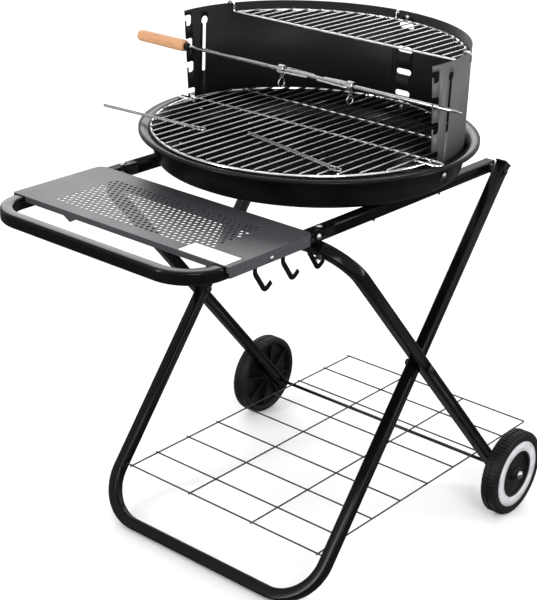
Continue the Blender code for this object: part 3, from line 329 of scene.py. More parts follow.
def bake(obj):
    """Replace an object's data with its evaluated mesh."""
    bpy.context.view_layer.update()
    dg = bpy.context.evaluated_depsgraph_get()
    me = bpy.data.meshes.new_from_object(obj.evaluated_get(dg))
    me.name = obj.name
    world = obj.matrix_world.copy()
    name = obj.name
    if obj.type == "MESH":
        obj.modifiers.clear()
        obj.data = me
        return obj
    bpy.data.objects.remove(obj, do_unlink=True)
    bm = bmesh.new()
    bm.from_mesh(me)
    bmesh.ops.remove_doubles(bm, verts=bm.verts, dist=0.000002)
    bmesh.ops.recalc_face_normals(bm, faces=bm.faces)
    top = max(bm.faces, key=lambda f: f.calc_center_median().z)
    if top.normal.z < 0:
        bmesh.ops.reverse_faces(bm, faces=bm.faces)
    bm.to_mesh(me)
    bm.free()
    o = bpy.data.objects.new(name, me)
    o.matrix_world = world
    scene.collection.objects.link(o)
    return o


def unite(base, *others):
    """Boolean union of overlapping solids into one body."""
    for k, o in enumerate(others):
        m = base.modifiers.new("join_%d" % k, "BOOLEAN")
        m.operation = "UNION"
        m.solver = "EXACT"
        m.object = o
        bake(base)
        bpy.data.objects.remove(o, do_unlink=True)
    return base


def cutter(name, bm):
    o = mesh_object(name, bm)
    scene.collection.objects.unlink(o)
    cutters.objects.link(o)
    o.hide_render = True
    o.display_type = "WIRE"
    return o


def cut(obj, tool, solver="EXACT"):
    m = obj.modifiers.new("cut_" + tool.name, "BOOLEAN")
    m.operation = "DIFFERENCE"
    m.solver = solver
    m.object = tool
    return obj


def drill(obj, holes, sides=20):
    """holes: (point, axis, radius, length), each centred on its point."""
    bm = bmesh.new()
    for p, axis, r, length in holes:
        a = Vector(axis).normalized() * length / 2
        add_rod(bm, Vector(p) - a, Vector(p) + a, r, sides)
    return cut(obj, cutter(obj.name + "_holes", bm))


def fillet(points, radius, steps=12):
    """Polyline with its inner corners rounded; radius may be a list."""
    pts = [Vector(p) for p in points]
    rad = radius if isinstance(radius, (list, tuple)) else [radius] * (len(pts) - 2)
    out = [pts[0]]
    for i in range(1, len(pts) - 1):
        a, b, c = pts[i - 1], pts[i], pts[i + 1]
        u, v = (a - b).normalized(), (c - b).normalized()
        half = math.acos(max(-1.0, min(1.0, u.dot(v)))) / 2
        if rad[i - 1] <= 0 or half > math.radians(89.5):
            out.append(b)
            continue
        t = rad[i - 1] / math.tan(half)
        centre = b + (u + v).normalized() * (rad[i - 1] / math.sin(half))
        s, e = b + u * t - centre, b + v * t - centre
        for k in range(steps + 1):
            w = k / steps
            ang = s.angle(e)
            d = (s * math.sin((1 - w) * ang) + e * math.sin(w * ang)) / math.sin(ang)
            out.append(centre + d)
    out.append(pts[-1])
    return out


def poly_curve(name, points, closed=False):
    cu = bpy.data.curves.new(name, "CURVE")
    cu.dimensions = "3D"
    cu.resolution_u = 1
    cu.render_resolution_u = 0
    sp = cu.splines.new("POLY")
    sp.points.add(len(points) - 1)
    for q, p in zip(sp.points, points):
        q.co = (p[0], p[1], p[2] if len(p) > 2 else 0.0, 1.0)
    sp.use_cyclic_u = closed
    o = bpy.data.objects.new(name, cu)
    scene.collection.objects.link(o)
    return o


def wire(name, points, r, closed=False, res=3):
    """Round wire along a polyline, as a closed mesh."""
    o = poly_curve(name, points, closed)
    o.data.bevel_depth = r
    o.data.bevel_resolution = res
    o.data.use_fill_caps = not closed
    o.data.twist_mode = "MINIMUM"
    return bake(o)


def section(width, height, r, steps=2):
    """Rounded rectangle used as a tube's cross-section."""
    pts = []
    for cx, cy, a0 in ((1, 1, 0), (-1, 1, 90), (-1, -1, 180), (1, -1, 270)):
        for k in range(steps + 1):
            a = math.radians(a0 + 90 * k / steps)
            pts.append((cx * (width / 2 - r) + r * math.cos(a), cy * (height / 2 - r) + r * math.sin(a)))
    o = poly_curve("section", pts, True)
    o.data.dimensions = "2D"
    o.data.fill_mode = "NONE"
    return o


def flat_tube(name, points, matrix, width=TUBE, height=TUBE, r=TUBE_R, wall=TUBE_WALL, steps=4):
    """Sweep a rounded rectangle along a path that lies in the local XY plane.

    width is in that plane, height along its normal.  With a wall the sweep
    stays open at its ends and Solidify makes it a hollow tube.
    """
    prof = section(width, height, r, steps)
    o = poly_curve(name, points)
    o.data.twist_mode = "Z_UP"
    o.data.bevel_mode = "OBJECT"
    o.data.bevel_object = prof
    o.data.use_fill_caps = wall is None
    o.matrix_world = matrix
    o = bake(o)
    bpy.data.objects.remove(prof, do_unlink=True)
    if wall is not None:
        s = o.modifiers.new("wall", "SOLIDIFY")
        s.thickness = wall
        s.offset = -1.0
        s.use_even_offset = True
        s.use_quality_normals = True
    return smooth(o, 50)


def lathe(name, profile, matrix, steps=24, angle=360.0):
    """Turn (radius, height) points, listed down the outer side, about local Z."""
    bm = bmesh.new()
    vs = [bm.verts.new((p[0], 0.0, p[1])) for p in profile]
    for a, b in zip(vs, vs[1:]):
        bm.edges.new((a, b))
    o = mesh_object(name, bm, matrix)
    s = o.modifiers.new("turn", "SCREW")
    s.axis = "Z"
    s.angle = math.radians(angle)
    s.steps = s.render_steps = steps
    s.use_merge_vertices = True
    s.merge_threshold = 0.00001
    s.use_smooth_shade = True
    s.use_normal_calculate = False
    return o


def ring_lathe(name, profile, matrix, steps=24):
    """As lathe, for a closed profile that does not touch the axis."""
    bm = bmesh.new()
    vs = [bm.verts.new((p[0], 0.0, p[1])) for p in profile]
    for a, b in zip(vs, vs[1:] + vs[:1]):
        bm.edges.new((a, b))
    o = mesh_object(name, bm, matrix)
    s = o.modifiers.new("turn", "SCREW")
    s.axis = "Z"
    s.angle = math.radians(360.0)
    s.steps = s.render_steps = steps
    s.use_merge_vertices = True
    s.merge_threshold = 0.00001
    s.use_smooth_shade = True
    return o


def bolt(name, start, axis, grip, r=0.0025, head_r=0.0052, head_h=0.0032, nut_r=0.0046, nut_h=0.0036,
         finish="zinc", over=0.0015):
    """Domed bolt: head outside `start`, shank along -axis for `grip`, then its nut."""
    z0 = GAP
    prof = [(0, z0 + head_h)]
    prof += [(head_r * math.sin(math.radians(a)), z0 + 0.0004 + (head_h - 0.0004) * math.cos(math.radians(a))) for a in range(12, 91, 13)]
    prof += [(head_r, z0), (r, z0), (r, -grip - GAP),
            (nut_r, -grip - GAP), (nut_r, -grip - GAP - nut_h), (r, -grip - GAP - nut_h),
            (r * 0.9, -grip - GAP - nut_h - over), (0, -grip - GAP - nut_h - over)]
    if nut_r <= 0:
        prof = prof[:-6] + [(r, -grip + 0.0015), (0.0003, -grip), (0, -grip)]
    return place(lathe(name, prof, aligned(start, axis), 28), finish)


# ------------------------------------------------------------------ leg frames
dir_a = LEG_A_DIR.normalized()
dir_b = Vector((CROSS_X - AXLE_X, 0.0, CROSS_Z - AXLE_Z))
len_b = dir_b.length
dir_b.normalize()

# the foot frame: a U whose bar lies on the ground
top_a = (TOP_Z + 0.010 - FOOT_Z) / dir_a.z
mat_a = Matrix(((0, 1, 0), dir_a, Vector((0, 1, 0)).cross(dir_a))).transposed().to_4x4()
mat_a.translation = Vector((FOOT_X, 0, FOOT_Z))
path_a = fillet([(-LEG_A_Y, top_a, 0), (-LEG_A_Y, 0, 0), (LEG_A_Y, 0, 0), (LEG_A_Y, top_a, 0)], LEG_A_BEND, 20)
foot_frame = flat_tube("foot_leg_frame", path_a, mat_a)

# the wheel frame: an upside-down U whose bar carries the side rails
mat_b = Matrix(((0, 1, 0), dir_b, Vector((0, 1, 0)).cross(dir_b))).transposed().to_4x4()
mat_b.translation = Vector((AXLE_X, 0, AXLE_Z))
path_b = fillet([(-LEG_B_Y, -LEG_B_TAIL, 0), (-LEG_B_Y, len_b, 0), (LEG_B_Y, len_b, 0),
                 (LEG_B_Y, -LEG_B_TAIL, 0)], LEG_B_BEND, 20)
wheel_frame = flat_tube("wheel_leg_frame", path_b, mat_b)

# where the two frames cross
s_cross = ((AXLE_X - FOOT_X) + dir_b.x / dir_b.z * (FOOT_Z - AXLE_Z)) / (dir_a.x / dir_a.z - dir_b.x / dir_b.z)
PIVOT = Vector((FOOT_X + dir_a.x / dir_a.z * s_cross, 0, FOOT_Z + s_cross))
TOP_A = Vector((FOOT_X + dir_a.x / dir_a.z * (TOP_Z - FOOT_Z), 0, TOP_Z))

# ------------------------------------------------------------------ top frame
flat = Matrix.Translation((0, 0, TOP_Z))
path_l = fillet([(LOOP_TAIL_X, -LOOP_Y, 0), (LOOP_FRONT_X, -LOOP_Y, 0), (LOOP_FRONT_X, LOOP_Y, 0),
                 (LOOP_TAIL_X, LOOP_Y, 0)], LOOP_BEND, 20)
loop = flat_tube("handle_loop", path_l, flat)

rails = {}
for side, sy in (("near", -1), ("far", 1)):
    rails[side] = flat_tube("side_rail_" + side,
                            [(RAIL_FRONT_X, sy * RAIL_Y, 0), (RAIL_REAR_X, sy * RAIL_Y, 0)], flat)
    bake(rails[side])
    inner = TUBE - 2 * TUBE_WALL - 2 * GAP
    stub = flat_tube("stub", [(STUB_X, sy * RAIL_Y, 0), (RAIL_FRONT_X + 0.0060, sy * RAIL_Y, 0)], flat,
                     width=inner, height=inner, r=0.0036, wall=None)
    bake(stub)
    root = flat_tube("stub_root", [(RAIL_FRONT_X + 0.0010, sy * RAIL_Y, 0), (RAIL_FRONT_X + 0.0065, sy * RAIL_Y, 0)], flat,
                     width=TUBE - 2 * TUBE_WALL + 0.0008, height=TUBE - 2 * TUBE_WALL + 0.0008, r=0.0030, wall=None)
    bake(root)
    unite(rails[side], root, stub)

# ------------------------------------------------------------------ bolts and their holes
HANDLE_BOLT_X = -0.2320
CROSS_BOLT_X = CROSS_X
BOWL_SCREW_X = (-0.0860, 0.0868)
HOOK_X = (-0.3715, -0.3120, -0.2545)
TABLE_SCREW_X = -0.3430
SHELF_STUB = 0.2215
M5 = 0.0025
H5 = 0.0031

holes_a, holes_b, holes_l = [], [], []
Y = (0, 1, 0)
Z = (0, 0, 1)
for sy in (-1, 1):
    holes_a.append(((PIVOT.x, sy * LEG_A_Y, PIVOT.z), Y, 0.0036, 0.030))
    holes_a.append(((TOP_A.x, sy * LEG_A_Y, TOP_A.z), Y, H5, 0.034))
    holes_a.append(((SHELF_FRONT_X, sy * (LEG_A_Y - TUBE / 2), SHELF_Z + 2 * WIRE_R - 0.0006), Y, 0.0020, 0.008))
    holes_b.append(((PIVOT.x, sy * LEG_B_Y, PIVOT.z), Y, 0.0036, 0.030))
    holes_b.append(((AXLE_X, sy * LEG_B_Y, AXLE_Z), Y, AXLE_R + 2 * GAP, 0.030))
    holes_b.append(((CROSS_BOLT_X, sy * LOOP_Y, CROSS_Z), Z, H5, 0.030))
    holes_l.append(((CROSS_BOLT_X, sy * LOOP_Y, TOP_Z), Z, H5, 0.030))
    holes_l.append(((HANDLE_BOLT_X, sy * LOOP_Y, TOP_Z), Y, H5, 0.0235))
    holes_l.append(((TABLE_SCREW_X, sy * (LOOP_Y + TUBE / 2), TOP_Z), Y, 0.0023, 0.008))
for hx in HOOK_X:
    holes_l.append(((hx, -(LOOP_Y + TUBE / 2), TOP_Z), Y, 0.0023, 0.008))
drill(foot_frame, holes_a)
drill(wheel_frame, holes_b)
drill(loop, holes_l)
place(foot_frame, "black_gloss")
place(wheel_frame, "black_gloss")
place(loop, "black_gloss")

for side, sy in (("near", -1), ("far", 1)):
    rail = rails[side]
    hs = [((HANDLE_BOLT_X, sy * RAIL_Y, TOP_Z), Y, H5, 0.0210),
          ((CROSS_BOLT_X, sy * RAIL_Y, TOP_Z), Z, H5, 0.0210),
          ((TOP_A.x, sy * RAIL_Y, TOP_Z), Y, H5, 0.0210)]
    hs += [((bx, sy * RAIL_Y, TOP_Z), Z, 0.0024, 0.030) for bx in BOWL_SCREW_X]
    drill(rail, hs)
    place(rail, "black_gloss")

    # bolts: pivot, leg top, handle, crossbar
    bolt("pivot_bolt_" + side, (PIVOT.x, sy * (LEG_B_Y + TUBE / 2), PIVOT.z), (0, sy, 0),
         LEG_B_Y - LEG_A_Y + TUBE, r=0.003, head_r=0.0070, head_h=0.0040, nut_r=0.0055, nut_h=0.0045,
         finish="plastic")
    spacer_in, spacer_out = 0.0034, 0.0085
    y0, y1 = LEG_A_Y + TUBE / 2 + GAP, LEG_B_Y - TUBE / 2 - GAP
    place(ring_lathe("pivot_spacer_" + side,
                     [(spacer_in, y1), (spacer_out, y1), (spacer_out, y0), (spacer_in, y0)],
                     aligned((PIVOT.x, 0, PIVOT.z), (0, sy, 0)), 40), "plastic")
    bolt("leg_top_bolt_" + side, (TOP_A.x, sy * (LEG_A_Y + TUBE / 2), TOP_A.z), (0, sy, 0),
         LEG_A_Y - RAIL_Y + TUBE, finish="plastic")
    bolt("handle_bolt_" + side, (HANDLE_BOLT_X, sy * (RAIL_Y + TUBE / 2), TOP_Z), (0, sy, 0), TUBE)
    place(ring_lathe("leg_top_spacer_" + side,
                     [(0.0034, LEG_A_Y - TUBE / 2 - GAP), (0.0075, LEG_A_Y - TUBE / 2 - GAP),
                      (0.0075, RAIL_Y + TUBE / 2 + GAP), (0.0034, RAIL_Y + TUBE / 2 + GAP)],
                     aligned((TOP_A.x, 0, TOP_A.z), (0, sy, 0)), 40), "plastic")
    bolt("crossbar_bolt_" + side, (CROSS_BOLT_X, sy * LOOP_Y, TOP_Z + TUBE / 2), Z,
         TOP_Z + TUBE / 2 - (CROSS_Z - 0.0152), nut_r=0.0060, nut_h=0.0020, head_h=0.0030)

    # plastic plugs: rail end, leg top, leg foot
    plug = TUBE - 2 * TUBE_WALL - 2 * GAP
    bm = bmesh.new()
    add_box(bm, (RAIL_REAR_X - 0.008, sy * RAIL_Y - plug / 2 + 0.0004, TOP_Z - plug / 2 + 0.0004),
            (RAIL_REAR_X + 0.002, sy * RAIL_Y + plug / 2 - 0.0004, TOP_Z + plug / 2 - 0.0004))
    stem = mesh_object("stem", bm)
    bv = stem.modifiers.new("corner", "BEVEL")
    bv.width = 0.0022
    bv.segments = 4
    bake(stem)
    bm = bmesh.new()
    add_box(bm, (RAIL_REAR_X + GAP, sy * RAIL_Y - TUBE / 2, TOP_Z - TUBE / 2),
            (RAIL_REAR_X + 0.0040, sy * RAIL_Y + TUBE / 2, TOP_Z + TUBE / 2))
    cap = mesh_object("rail_end_cap_" + side, bm)
    bv = cap.modifiers.new("corner", "BEVEL")
    bv.width = 0.0018
    bv.segments = 4
    bake(cap)
    unite(cap, stem)
    place(smooth(cap), "plastic")

    for name, at, along, ycen in (("leg_top_plug_", Vector((FOOT_X, 0, FOOT_Z)) + dir_a * top_a, dir_a, LEG_A_Y),
                                  ("leg_foot_plug_", Vector((AXLE_X, 0, AXLE_Z)) - dir_b * LEG_B_TAIL, -dir_b, LEG_B_Y)):
        m = aligned((at.x, sy * ycen, at.z), along, (0, 1, 0))
        depth = 0.004
        bm = bmesh.new()
        add_box(bm, (-plug / 2 + 0.0003, -plug / 2 + 0.0003, -depth), (plug / 2 - 0.0003, plug / 2 - 0.0003, 0.001))
        stem = mesh_object("stem", bm, m)
        bv = stem.modifiers.new("corner", "BEVEL")
        bv.width = 0.0022
        bv.segments = 4
        bake(stem)
        bm = bmesh.new()
        over = 0.0008 if name == "leg_top_plug_" else 0.0
        add_box(bm, (-TUBE / 2, -TUBE / 2 - over, GAP), (TUBE / 2, TUBE / 2 + over, 0.0034))
        head = mesh_object(name + side, bm, m)
        bv = head.modifiers.new("corner", "BEVEL")
        bv.width = 0.0010
        bv.segments = 2
        bake(head)
        unite(head, stem)
        place(smooth(head), "plastic")

# ------------------------------------------------------------------ side table
bm = bmesh.new()
outline = fillet([(TABLE_X0 + 0.05, -TABLE_HALF, 0), (TABLE_X1, -TABLE_HALF, 0), (TABLE_X1, TABLE_HALF, 0),
                  (TABLE_X0, TABLE_HALF, 0), (TABLE_X0, -TABLE_HALF, 0), (TABLE_X0 + 0.05, -TABLE_HALF, 0)],
                 [0.012, 0.012, 0.003, 0.003], 3)[:-1]
vs = [bm.verts.new((p.x, p.y, TABLE_TOP)) for p in outline]
top_face = bm.faces.new(vs)
if top_face.normal.z < 0:
    top_face.normal_flip()
ext = bmesh.ops.extrude_edge_only(bm, edges=[e for e in bm.edges])
for v in [g for g in ext["geom"] if isinstance(g, bmesh.types.BMVert)]:
    v.co.z -= TABLE_LIP if v.co.x < TABLE_X0 + 0.002 else TABLE_WALL
bmesh.ops.recalc_face_normals(bm, faces=bm.faces)
table = mesh_object("side_table", bm)
if table.data.polygons[0].normal.z < 0:
    table.data.flip_normals()
so = table.modifiers.new("sheet", "SOLIDIFY")
so.thickness = SHEET
so.offset = -1.0
so.use_even_offset = True
bake(table)
# a small pointed tab hangs from the front lip
bm = bmesh.new()
lip_z = TABLE_TOP - TABLE_LIP
f = bm.faces.new([bm.verts.new((TABLE_X0, y, z)) for y, z in
                  ((0.0770, lip_z + 0.0010), (0.1065, lip_z + 0.0010), (0.0910, 0.6213))])
r = bmesh.ops.extrude_face_region(bm, geom=[f])
for v in [g for g in r["geom"] if isinstance(g, bmesh.types.BMVert)]:
    v.co.x += SHEET * 0.9
bmesh.ops.recalc_face_normals(bm, faces=bm.faces)
unite(table, mesh_object("tab", bm))
# the two side tubes pass under the lip and through the rear wall
bm = bmesh.new()
for sy in (-1, 1):
    for x0, x1, ya, yb in ((TABLE_X0 - 0.004, TABLE_X0 + 0.006, 0.1860, 0.2085),
                           (TABLE_X1 - 0.0080, TABLE_X1 + 0.004, 0.1860, 0.2108)):
        add_box(bm, (x0, min(sy * ya, sy * yb), 0.600), (x1, max(sy * ya, sy * yb), TABLE_TOP - SHEET - 0.0001))
cut(table, cutter("side_table_notches", bm))
drill(table, [((TABLE_SCREW_X, sy * (TABLE_HALF - SHEET / 2), TOP_Z), Y, 0.0023, 0.006) for sy in (-1, 1)])
bm = bmesh.new()
for i in range(14):
    x = -0.4040 + i * 0.1160 / 13
    n = 30 if i % 2 == 0 else 29
    for k in range(n):
        add_rod(bm, (x, (k - (n - 1) / 2) * 0.0100, TABLE_TOP - 0.004), (x, (k - (n - 1) / 2) * 0.0100, TABLE_TOP + 0.002), 0.0031, 12)
cut(table, cutter("table_perforation", bm))
place(table, "grey_paint")
label = fillet([(-0.4130, -0.2040, 0), (-0.3950, -0.2040, 0), (-0.3950, -0.1200, 0), (-0.4300, -0.1200, 0), (-0.4300, -0.2040, 0), (-0.4130, -0.2040, 0)],
               [0.0015, 0.0015, 0.0015, 0.0015], 4)[:-1]
bm = bmesh.new()
f = bm.faces.new([bm.verts.new((p.x, p.y, TABLE_TOP + 0.00005)) for p in label])
r = bmesh.ops.extrude_face_region(bm, geom=[f])
for v in [g for g in r["geom"] if isinstance(g, bmesh.types.BMVert)]:
    v.co.z += 0.00015
bmesh.ops.recalc_face_normals(bm, faces=bm.faces)
place(mesh_object("table_label", bm), "paper", rides=BODY_OF["side_table"])
for side, sy in (("near", -1), ("far", 1)):
    bolt("table_screw_" + side, (TABLE_SCREW_X, sy * TABLE_HALF, TOP_Z), (0, sy, 0), 0.016,
         r=0.0018, head_r=0.0042, head_h=0.0024, nut_r=0)

# three flat J hooks riveted to the near tube of the handle loop
for k, hx in enumerate(HOOK_X):
    yc = -(LOOP_Y + TUBE / 2 + GAP + 0.0010)
    m = Matrix(((1, 0, 0), (0, 0, 1), Vector((1, 0, 0)).cross(Vector((0, 0, 1))))).transposed().to_4x4()
    m.translation = Vector((hx, yc, TOP_Z))
    path = fillet([(0, 0.0080, 0), (0, -0.0160, 0), (0.0225, -0.0475, 0), (0.0355, -0.0380, 0)],
                  [0.012, 0.0065], 14)
    hook = flat_tube("utensil_hook_%d" % (k + 1), path, m, width=0.0078, height=0.0020, r=0.0006, wall=None, steps=3)
    bm = bmesh.new()
    add_rod(bm, (hx, yc + 0.0002, TOP_Z), (hx, yc + 0.0055, TOP_Z), 0.0019, 10)
    add_rod(bm, (hx, yc + 0.0002, TOP_Z + 0.0), (hx, yc - 0.0022, TOP_Z), 0.0030, 10)
    rivet = mesh_object("rivet", bm)
    bake(rivet)
    bmr = bmesh.new()
    add_rod(bmr, (hx, yc - 0.0004, TOP_Z), (hx, yc + 0.0055, TOP_Z), 0.0019, 10)
    bpy.data.objects.remove(rivet, do_unlink=True)
    rivet = mesh_object("rivet", bmr)
    unite(hook, rivet)
    place(smooth(hook), "black_gloss")

# ------------------------------------------------------------------ fire bowl
b0 = BOWL_BOTTOM
bowl_profile = [(0.0, b0 + 0.0010), (0.2170, b0 + 0.0010), (0.2298, b0 + 0.0052), (0.2397, b0 + 0.0097), (0.2438, b0 + 0.0150),
                (0.2535, FLANGE_TOP), (FLANGE_R, FLANGE_TOP), (FLANGE_R, FLANGE_TOP - 0.0045),
                (FLANGE_R - 0.0011, FLANGE_TOP - 0.0045), (FLANGE_R - 0.0011, FLANGE_TOP - 0.0011),
                (0.2544, FLANGE_TOP - 0.0011), (0.2449, b0 + 0.0147), (0.2406, b0 + 0.0090), (0.2303, b0 + 0.0042), (0.2174, b0), (0.0, b0)]
bowl = lathe("fire_bowl", bowl_profile, Matrix.Identity(4), 180)
SCREEN_SCREW = Vector((0.0120, 0, 0.6710))
bowl_holes = [((bx, sy * RAIL_Y, b0), Z, 0.0025, 0.012) for bx in BOWL_SCREW_X for sy in (-1, 1)]
bowl_holes += [((SCREEN_SCREW.x, sy * 0.2490, SCREEN_SCREW.z), Y, 0.0027, 0.012) for sy in (-1, 1)]
drill(bowl, bowl_holes)
place(bowl, "black_enamel")
n = 0
for side, sy in (("near", -1), ("far", 1)):
    for end, bx in (("front", BOWL_SCREW_X[0]), ("rear", BOWL_SCREW_X[1])):
        bolt("bowl_screw_%s_%s" % (side, end), (bx, sy * RAIL_Y, b0 + 0.0046), Z, 0.0320,
             r=0.0020, head_r=0.0045, head_h=0.0026, nut_r=0)


# ------------------------------------------------------------------ windscreen
def edge_x(z):
    """The free edges lean forward a little towards the top."""
    return -0.0160 - 0.1 * (z - 0.70)


def screen_half(name, sy, radius, a_back):
    """sy: side.  The sheet runs from behind the middle round to past the side."""
    a_free = 98.0
    lo, hi = (-a_free, a_back) if sy < 0 else (-a_back, a_free)
    bm = bmesh.new()
    v0 = bm.verts.new((radius, 0, SCREEN_TOP))
    v1 = bm.verts.new((radius, 0, SCREEN_BOTTOM))
    bm.edges.new((v0, v1))
    o = mesh_object(name, bm, Matrix.Rotation(math.radians(lo), 4, "Z"))
    s = o.modifiers.new("bend", "SCREW")
    s.axis = "Z"
    s.angle = math.radians(hi - lo)
    s.steps = s.render_steps = 90
    s.use_merge_vertices = True
    s.merge_threshold = 0.00001
    s.use_smooth_shade = True
    so = o.modifiers.new("sheet", "SOLIDIFY")
    so.thickness = SCREEN_T
    so.offset = 0.0
    so.use_even_offset = True
    bake(o)
    o.data.transform(o.matrix_world)
    o.matrix_world = Matrix.Identity(4)

    y0, y1 = sorted((sy * 0.225, sy * 0.260))
    # leaning free edge
    bm = bmesh.new()
    add_box(bm, (-0.080, y0, SCREEN_BOTTOM - 0.01), (0.0, y1, SCREEN_TOP + 0.01))
    for v in bm.verts:
        if v.co.x > -0.04:
            v.co.x = edge_x(v.co.z)
    cut(o, cutter(name + "_edge", bm))
    # four hooked notches: an open mouth above a pocket behind a lip
    bm = bmesh.new()
    for k in range(4):
        z = NOTCH_Z0 + k * NOTCH_STEP if k else FLANGE_TOP + 0.0001
        e = edge_x(z + 0.009)
        pts = [(e - 0.010, z + LIP_H + 0.0010), (e + LIP_W - 0.0012, z + LIP_H + 0.0010), (e + LIP_W, z + LIP_H - 0.0002),
               (e + LIP_W, z + 0.0015), (e + LIP_W + 0.0015, z), (e + NOTCH_DEPTH - 0.003, z),
               (e + NOTCH_DEPTH, z + 0.003), (e + NOTCH_DEPTH, z + NOTCH_H - 0.003),
               (e + NOTCH_DEPTH - 0.003, z + NOTCH_H), (e - 0.010, z + NOTCH_H)]
        f = bm.faces.new([bm.verts.new((x, y0, zz)) for x, zz in pts])
        r = bmesh.ops.extrude_face_region(bm, geom=[f])
        for v in [g for g in r["geom"] if isinstance(g, bmesh.types.BMVert)]:
            v.co.y = y1
    bmesh.ops.recalc_face_normals(bm, faces=bm.faces)
    cut(o, cutter(name + "_notches", bm))
    # keyhole: round hole with a long slot below it
    bm = bmesh.new()
    kx, kz, kr, kw, kb = 0.0200, 0.8210, 0.0070, 0.0035, 0.7350
    a0 = math.asin(kw / kr)
    pts = [(kx + kr * math.sin(t), kz - kr * math.cos(t)) for t in
           [a0 + (2 * math.pi - 2 * a0) * i / 36 for i in range(37)]]
    pts += [(kx - kw, kb + 0.0025), (kx - kw * 0.6, kb + 0.0005), (kx + kw * 0.6, kb + 0.0005), (kx + kw, kb + 0.0025)]
    f = bm.faces.new([bm.verts.new((x, y0, zz)) for x, zz in pts])
    r = bmesh.ops.extrude_face_region(bm, geom=[f])
    for v in [g for g in r["geom"] if isinstance(g, bmesh.types.BMVert)]:
        v.co.y = y1
    bmesh.ops.recalc_face_normals(bm, faces=bm.faces)
    cut(o, cutter(name + "_keyhole", bm))
    # four oblong slots through the overlap at the back, a notch for the rack's rear hook, screw holes
    bm = bmesh.new()
    for zz in (0.8205, 0.7800, 0.7420, 0.7050):
        pts = []
        for cy, a0 in ((0.0105, -90), (-0.0105, 90)):
            pts += [(cy + math.copysign(1, cy) * 0.005 * math.cos(math.radians(a)), zz + 0.005 * math.sin(math.radians(a)))
                    for a in ([-90, -45, 0, 45, 90] if cy > 0 else [90, 45, 0, -45, -90])]
        f = bm.faces.new([bm.verts.new((0.225, yy - 0.0060, z)) for yy, z in pts])
        r = bmesh.ops.extrude_face_region(bm, geom=[f])
        for v in [g for g in r["geom"] if isinstance(g, bmesh.types.BMVert)]:
            v.co.x = 0.260
    bmesh.ops.recalc_face_normals(bm, faces=bm.faces)
    add_box(bm, (0.225, 0.0115, SCREEN_TOP - 0.0052), (0.260, 0.0175, SCREEN_TOP + 0.010))
    for zz in (0.8348, 0.6820):
        add_rod(bm, (0.225, -0.0060, zz), (0.260, -0.0060, zz), 0.0022, 10)
    cut(o, cutter(name + "_back", bm))
    drill(o, [((SCREEN_SCREW.x, sy * 0.2450, SCREEN_SCREW.z), Y, 0.0024, 0.012)])
    o = place(o, ["screen_grey", "screen_outer"])
    # outward faces get the sheet's grey outside finish; inward faces keep the near-black painted shade
    for f in o.data.polygons:
        c = f.center - SHIFT.translation
        if c.x * f.normal.x + c.y * f.normal.y > 0.5 * math.hypot(c.x, c.y):
            f.material_index = 1
    return o


screen_half("windscreen_near", -1, SCREEN_R - SCREEN_T / 2 - GAP / 2, 4.4)
screen_half("windscreen_far", 1, SCREEN_R + SCREEN_T / 2 + GAP / 2, 6.8)
for tag, zz in (("top", 0.8348), ("bottom", 0.6820)):
    bolt("windscreen_screw_" + tag, (SCREEN_R - SCREEN_T - GAP / 2 - 0.0002, -0.0060, zz), (-1, 0, 0), 0.0024, r=0.0018, over=0.0006,
         head_r=0.0040, head_h=0.0022, nut_r=0.0036, nut_h=0.0018)
for side, sy in (("near", -1), ("far", 1)):
    bolt("screen_screw_" + side, (SCREEN_SCREW.x, sy * 0.2507, SCREEN_SCREW.z), (0, sy, 0), 0.0072, r=0.0019,
         head_r=0.0050, head_h=0.0028, nut_r=0.0036, nut_h=0.0022)

# ------------------------------------------------------------------ cooking grate
ring_z = FLANGE_TOP + GAP + 0.0020
bar_z = ring_z + 0.0030
wire_z = ring_z + 0.0002
bm = bmesh.new()
i = 0.5
while i * GRATE_PITCH < GRATE_R - 0.012:
    for sgn in (-1, 1):
        y = sgn * i * GRATE_PITCH
        h = math.sqrt(GRATE_R ** 2 - y * y)
        add_rod(bm, (GRATE_X - h, y, bar_z), (GRATE_X + h, y, bar_z), 0.0016, 10)
    i += 1
bars = mesh_object("bars", bm)
grate = wire("cooking_grate", [(GRATE_X + GRATE_R * math.cos(t), GRATE_R * math.sin(t), ring_z)
                               for t in [2 * math.pi * (k + 0.5) / 180 for k in range(180)]], 0.0020, True)
loop_pts = []
for sy in (-1, 1):
    loop_pts.append(fillet([(CROSS_WIRE_X, 0, wire_z), (CROSS_WIRE_X, sy * 0.2625, wire_z),
                            (CROSS_WIRE_X - 0.0190, sy * 0.2625, wire_z), (CROSS_WIRE_X - 0.0190, sy * 0.2215, wire_z)],
                           [0.008, 0.008], 8))
carry = wire("carry_wire", list(reversed(loop_pts[0])) + loop_pts[1][1:], 0.0020)
bm = bmesh.new()
hb = math.sqrt(GRATE_R ** 2 - (0.090 - GRATE_X) ** 2)
add_rod(bm, (0.090, -hb, ring_z + 0.0002), (0.090, hb, ring_z + 0.0002), 0.0020, 6)
brace = mesh_object("brace", bm)
unite(grate, bars, carry, brace)
place(smooth(grate), "chrome")

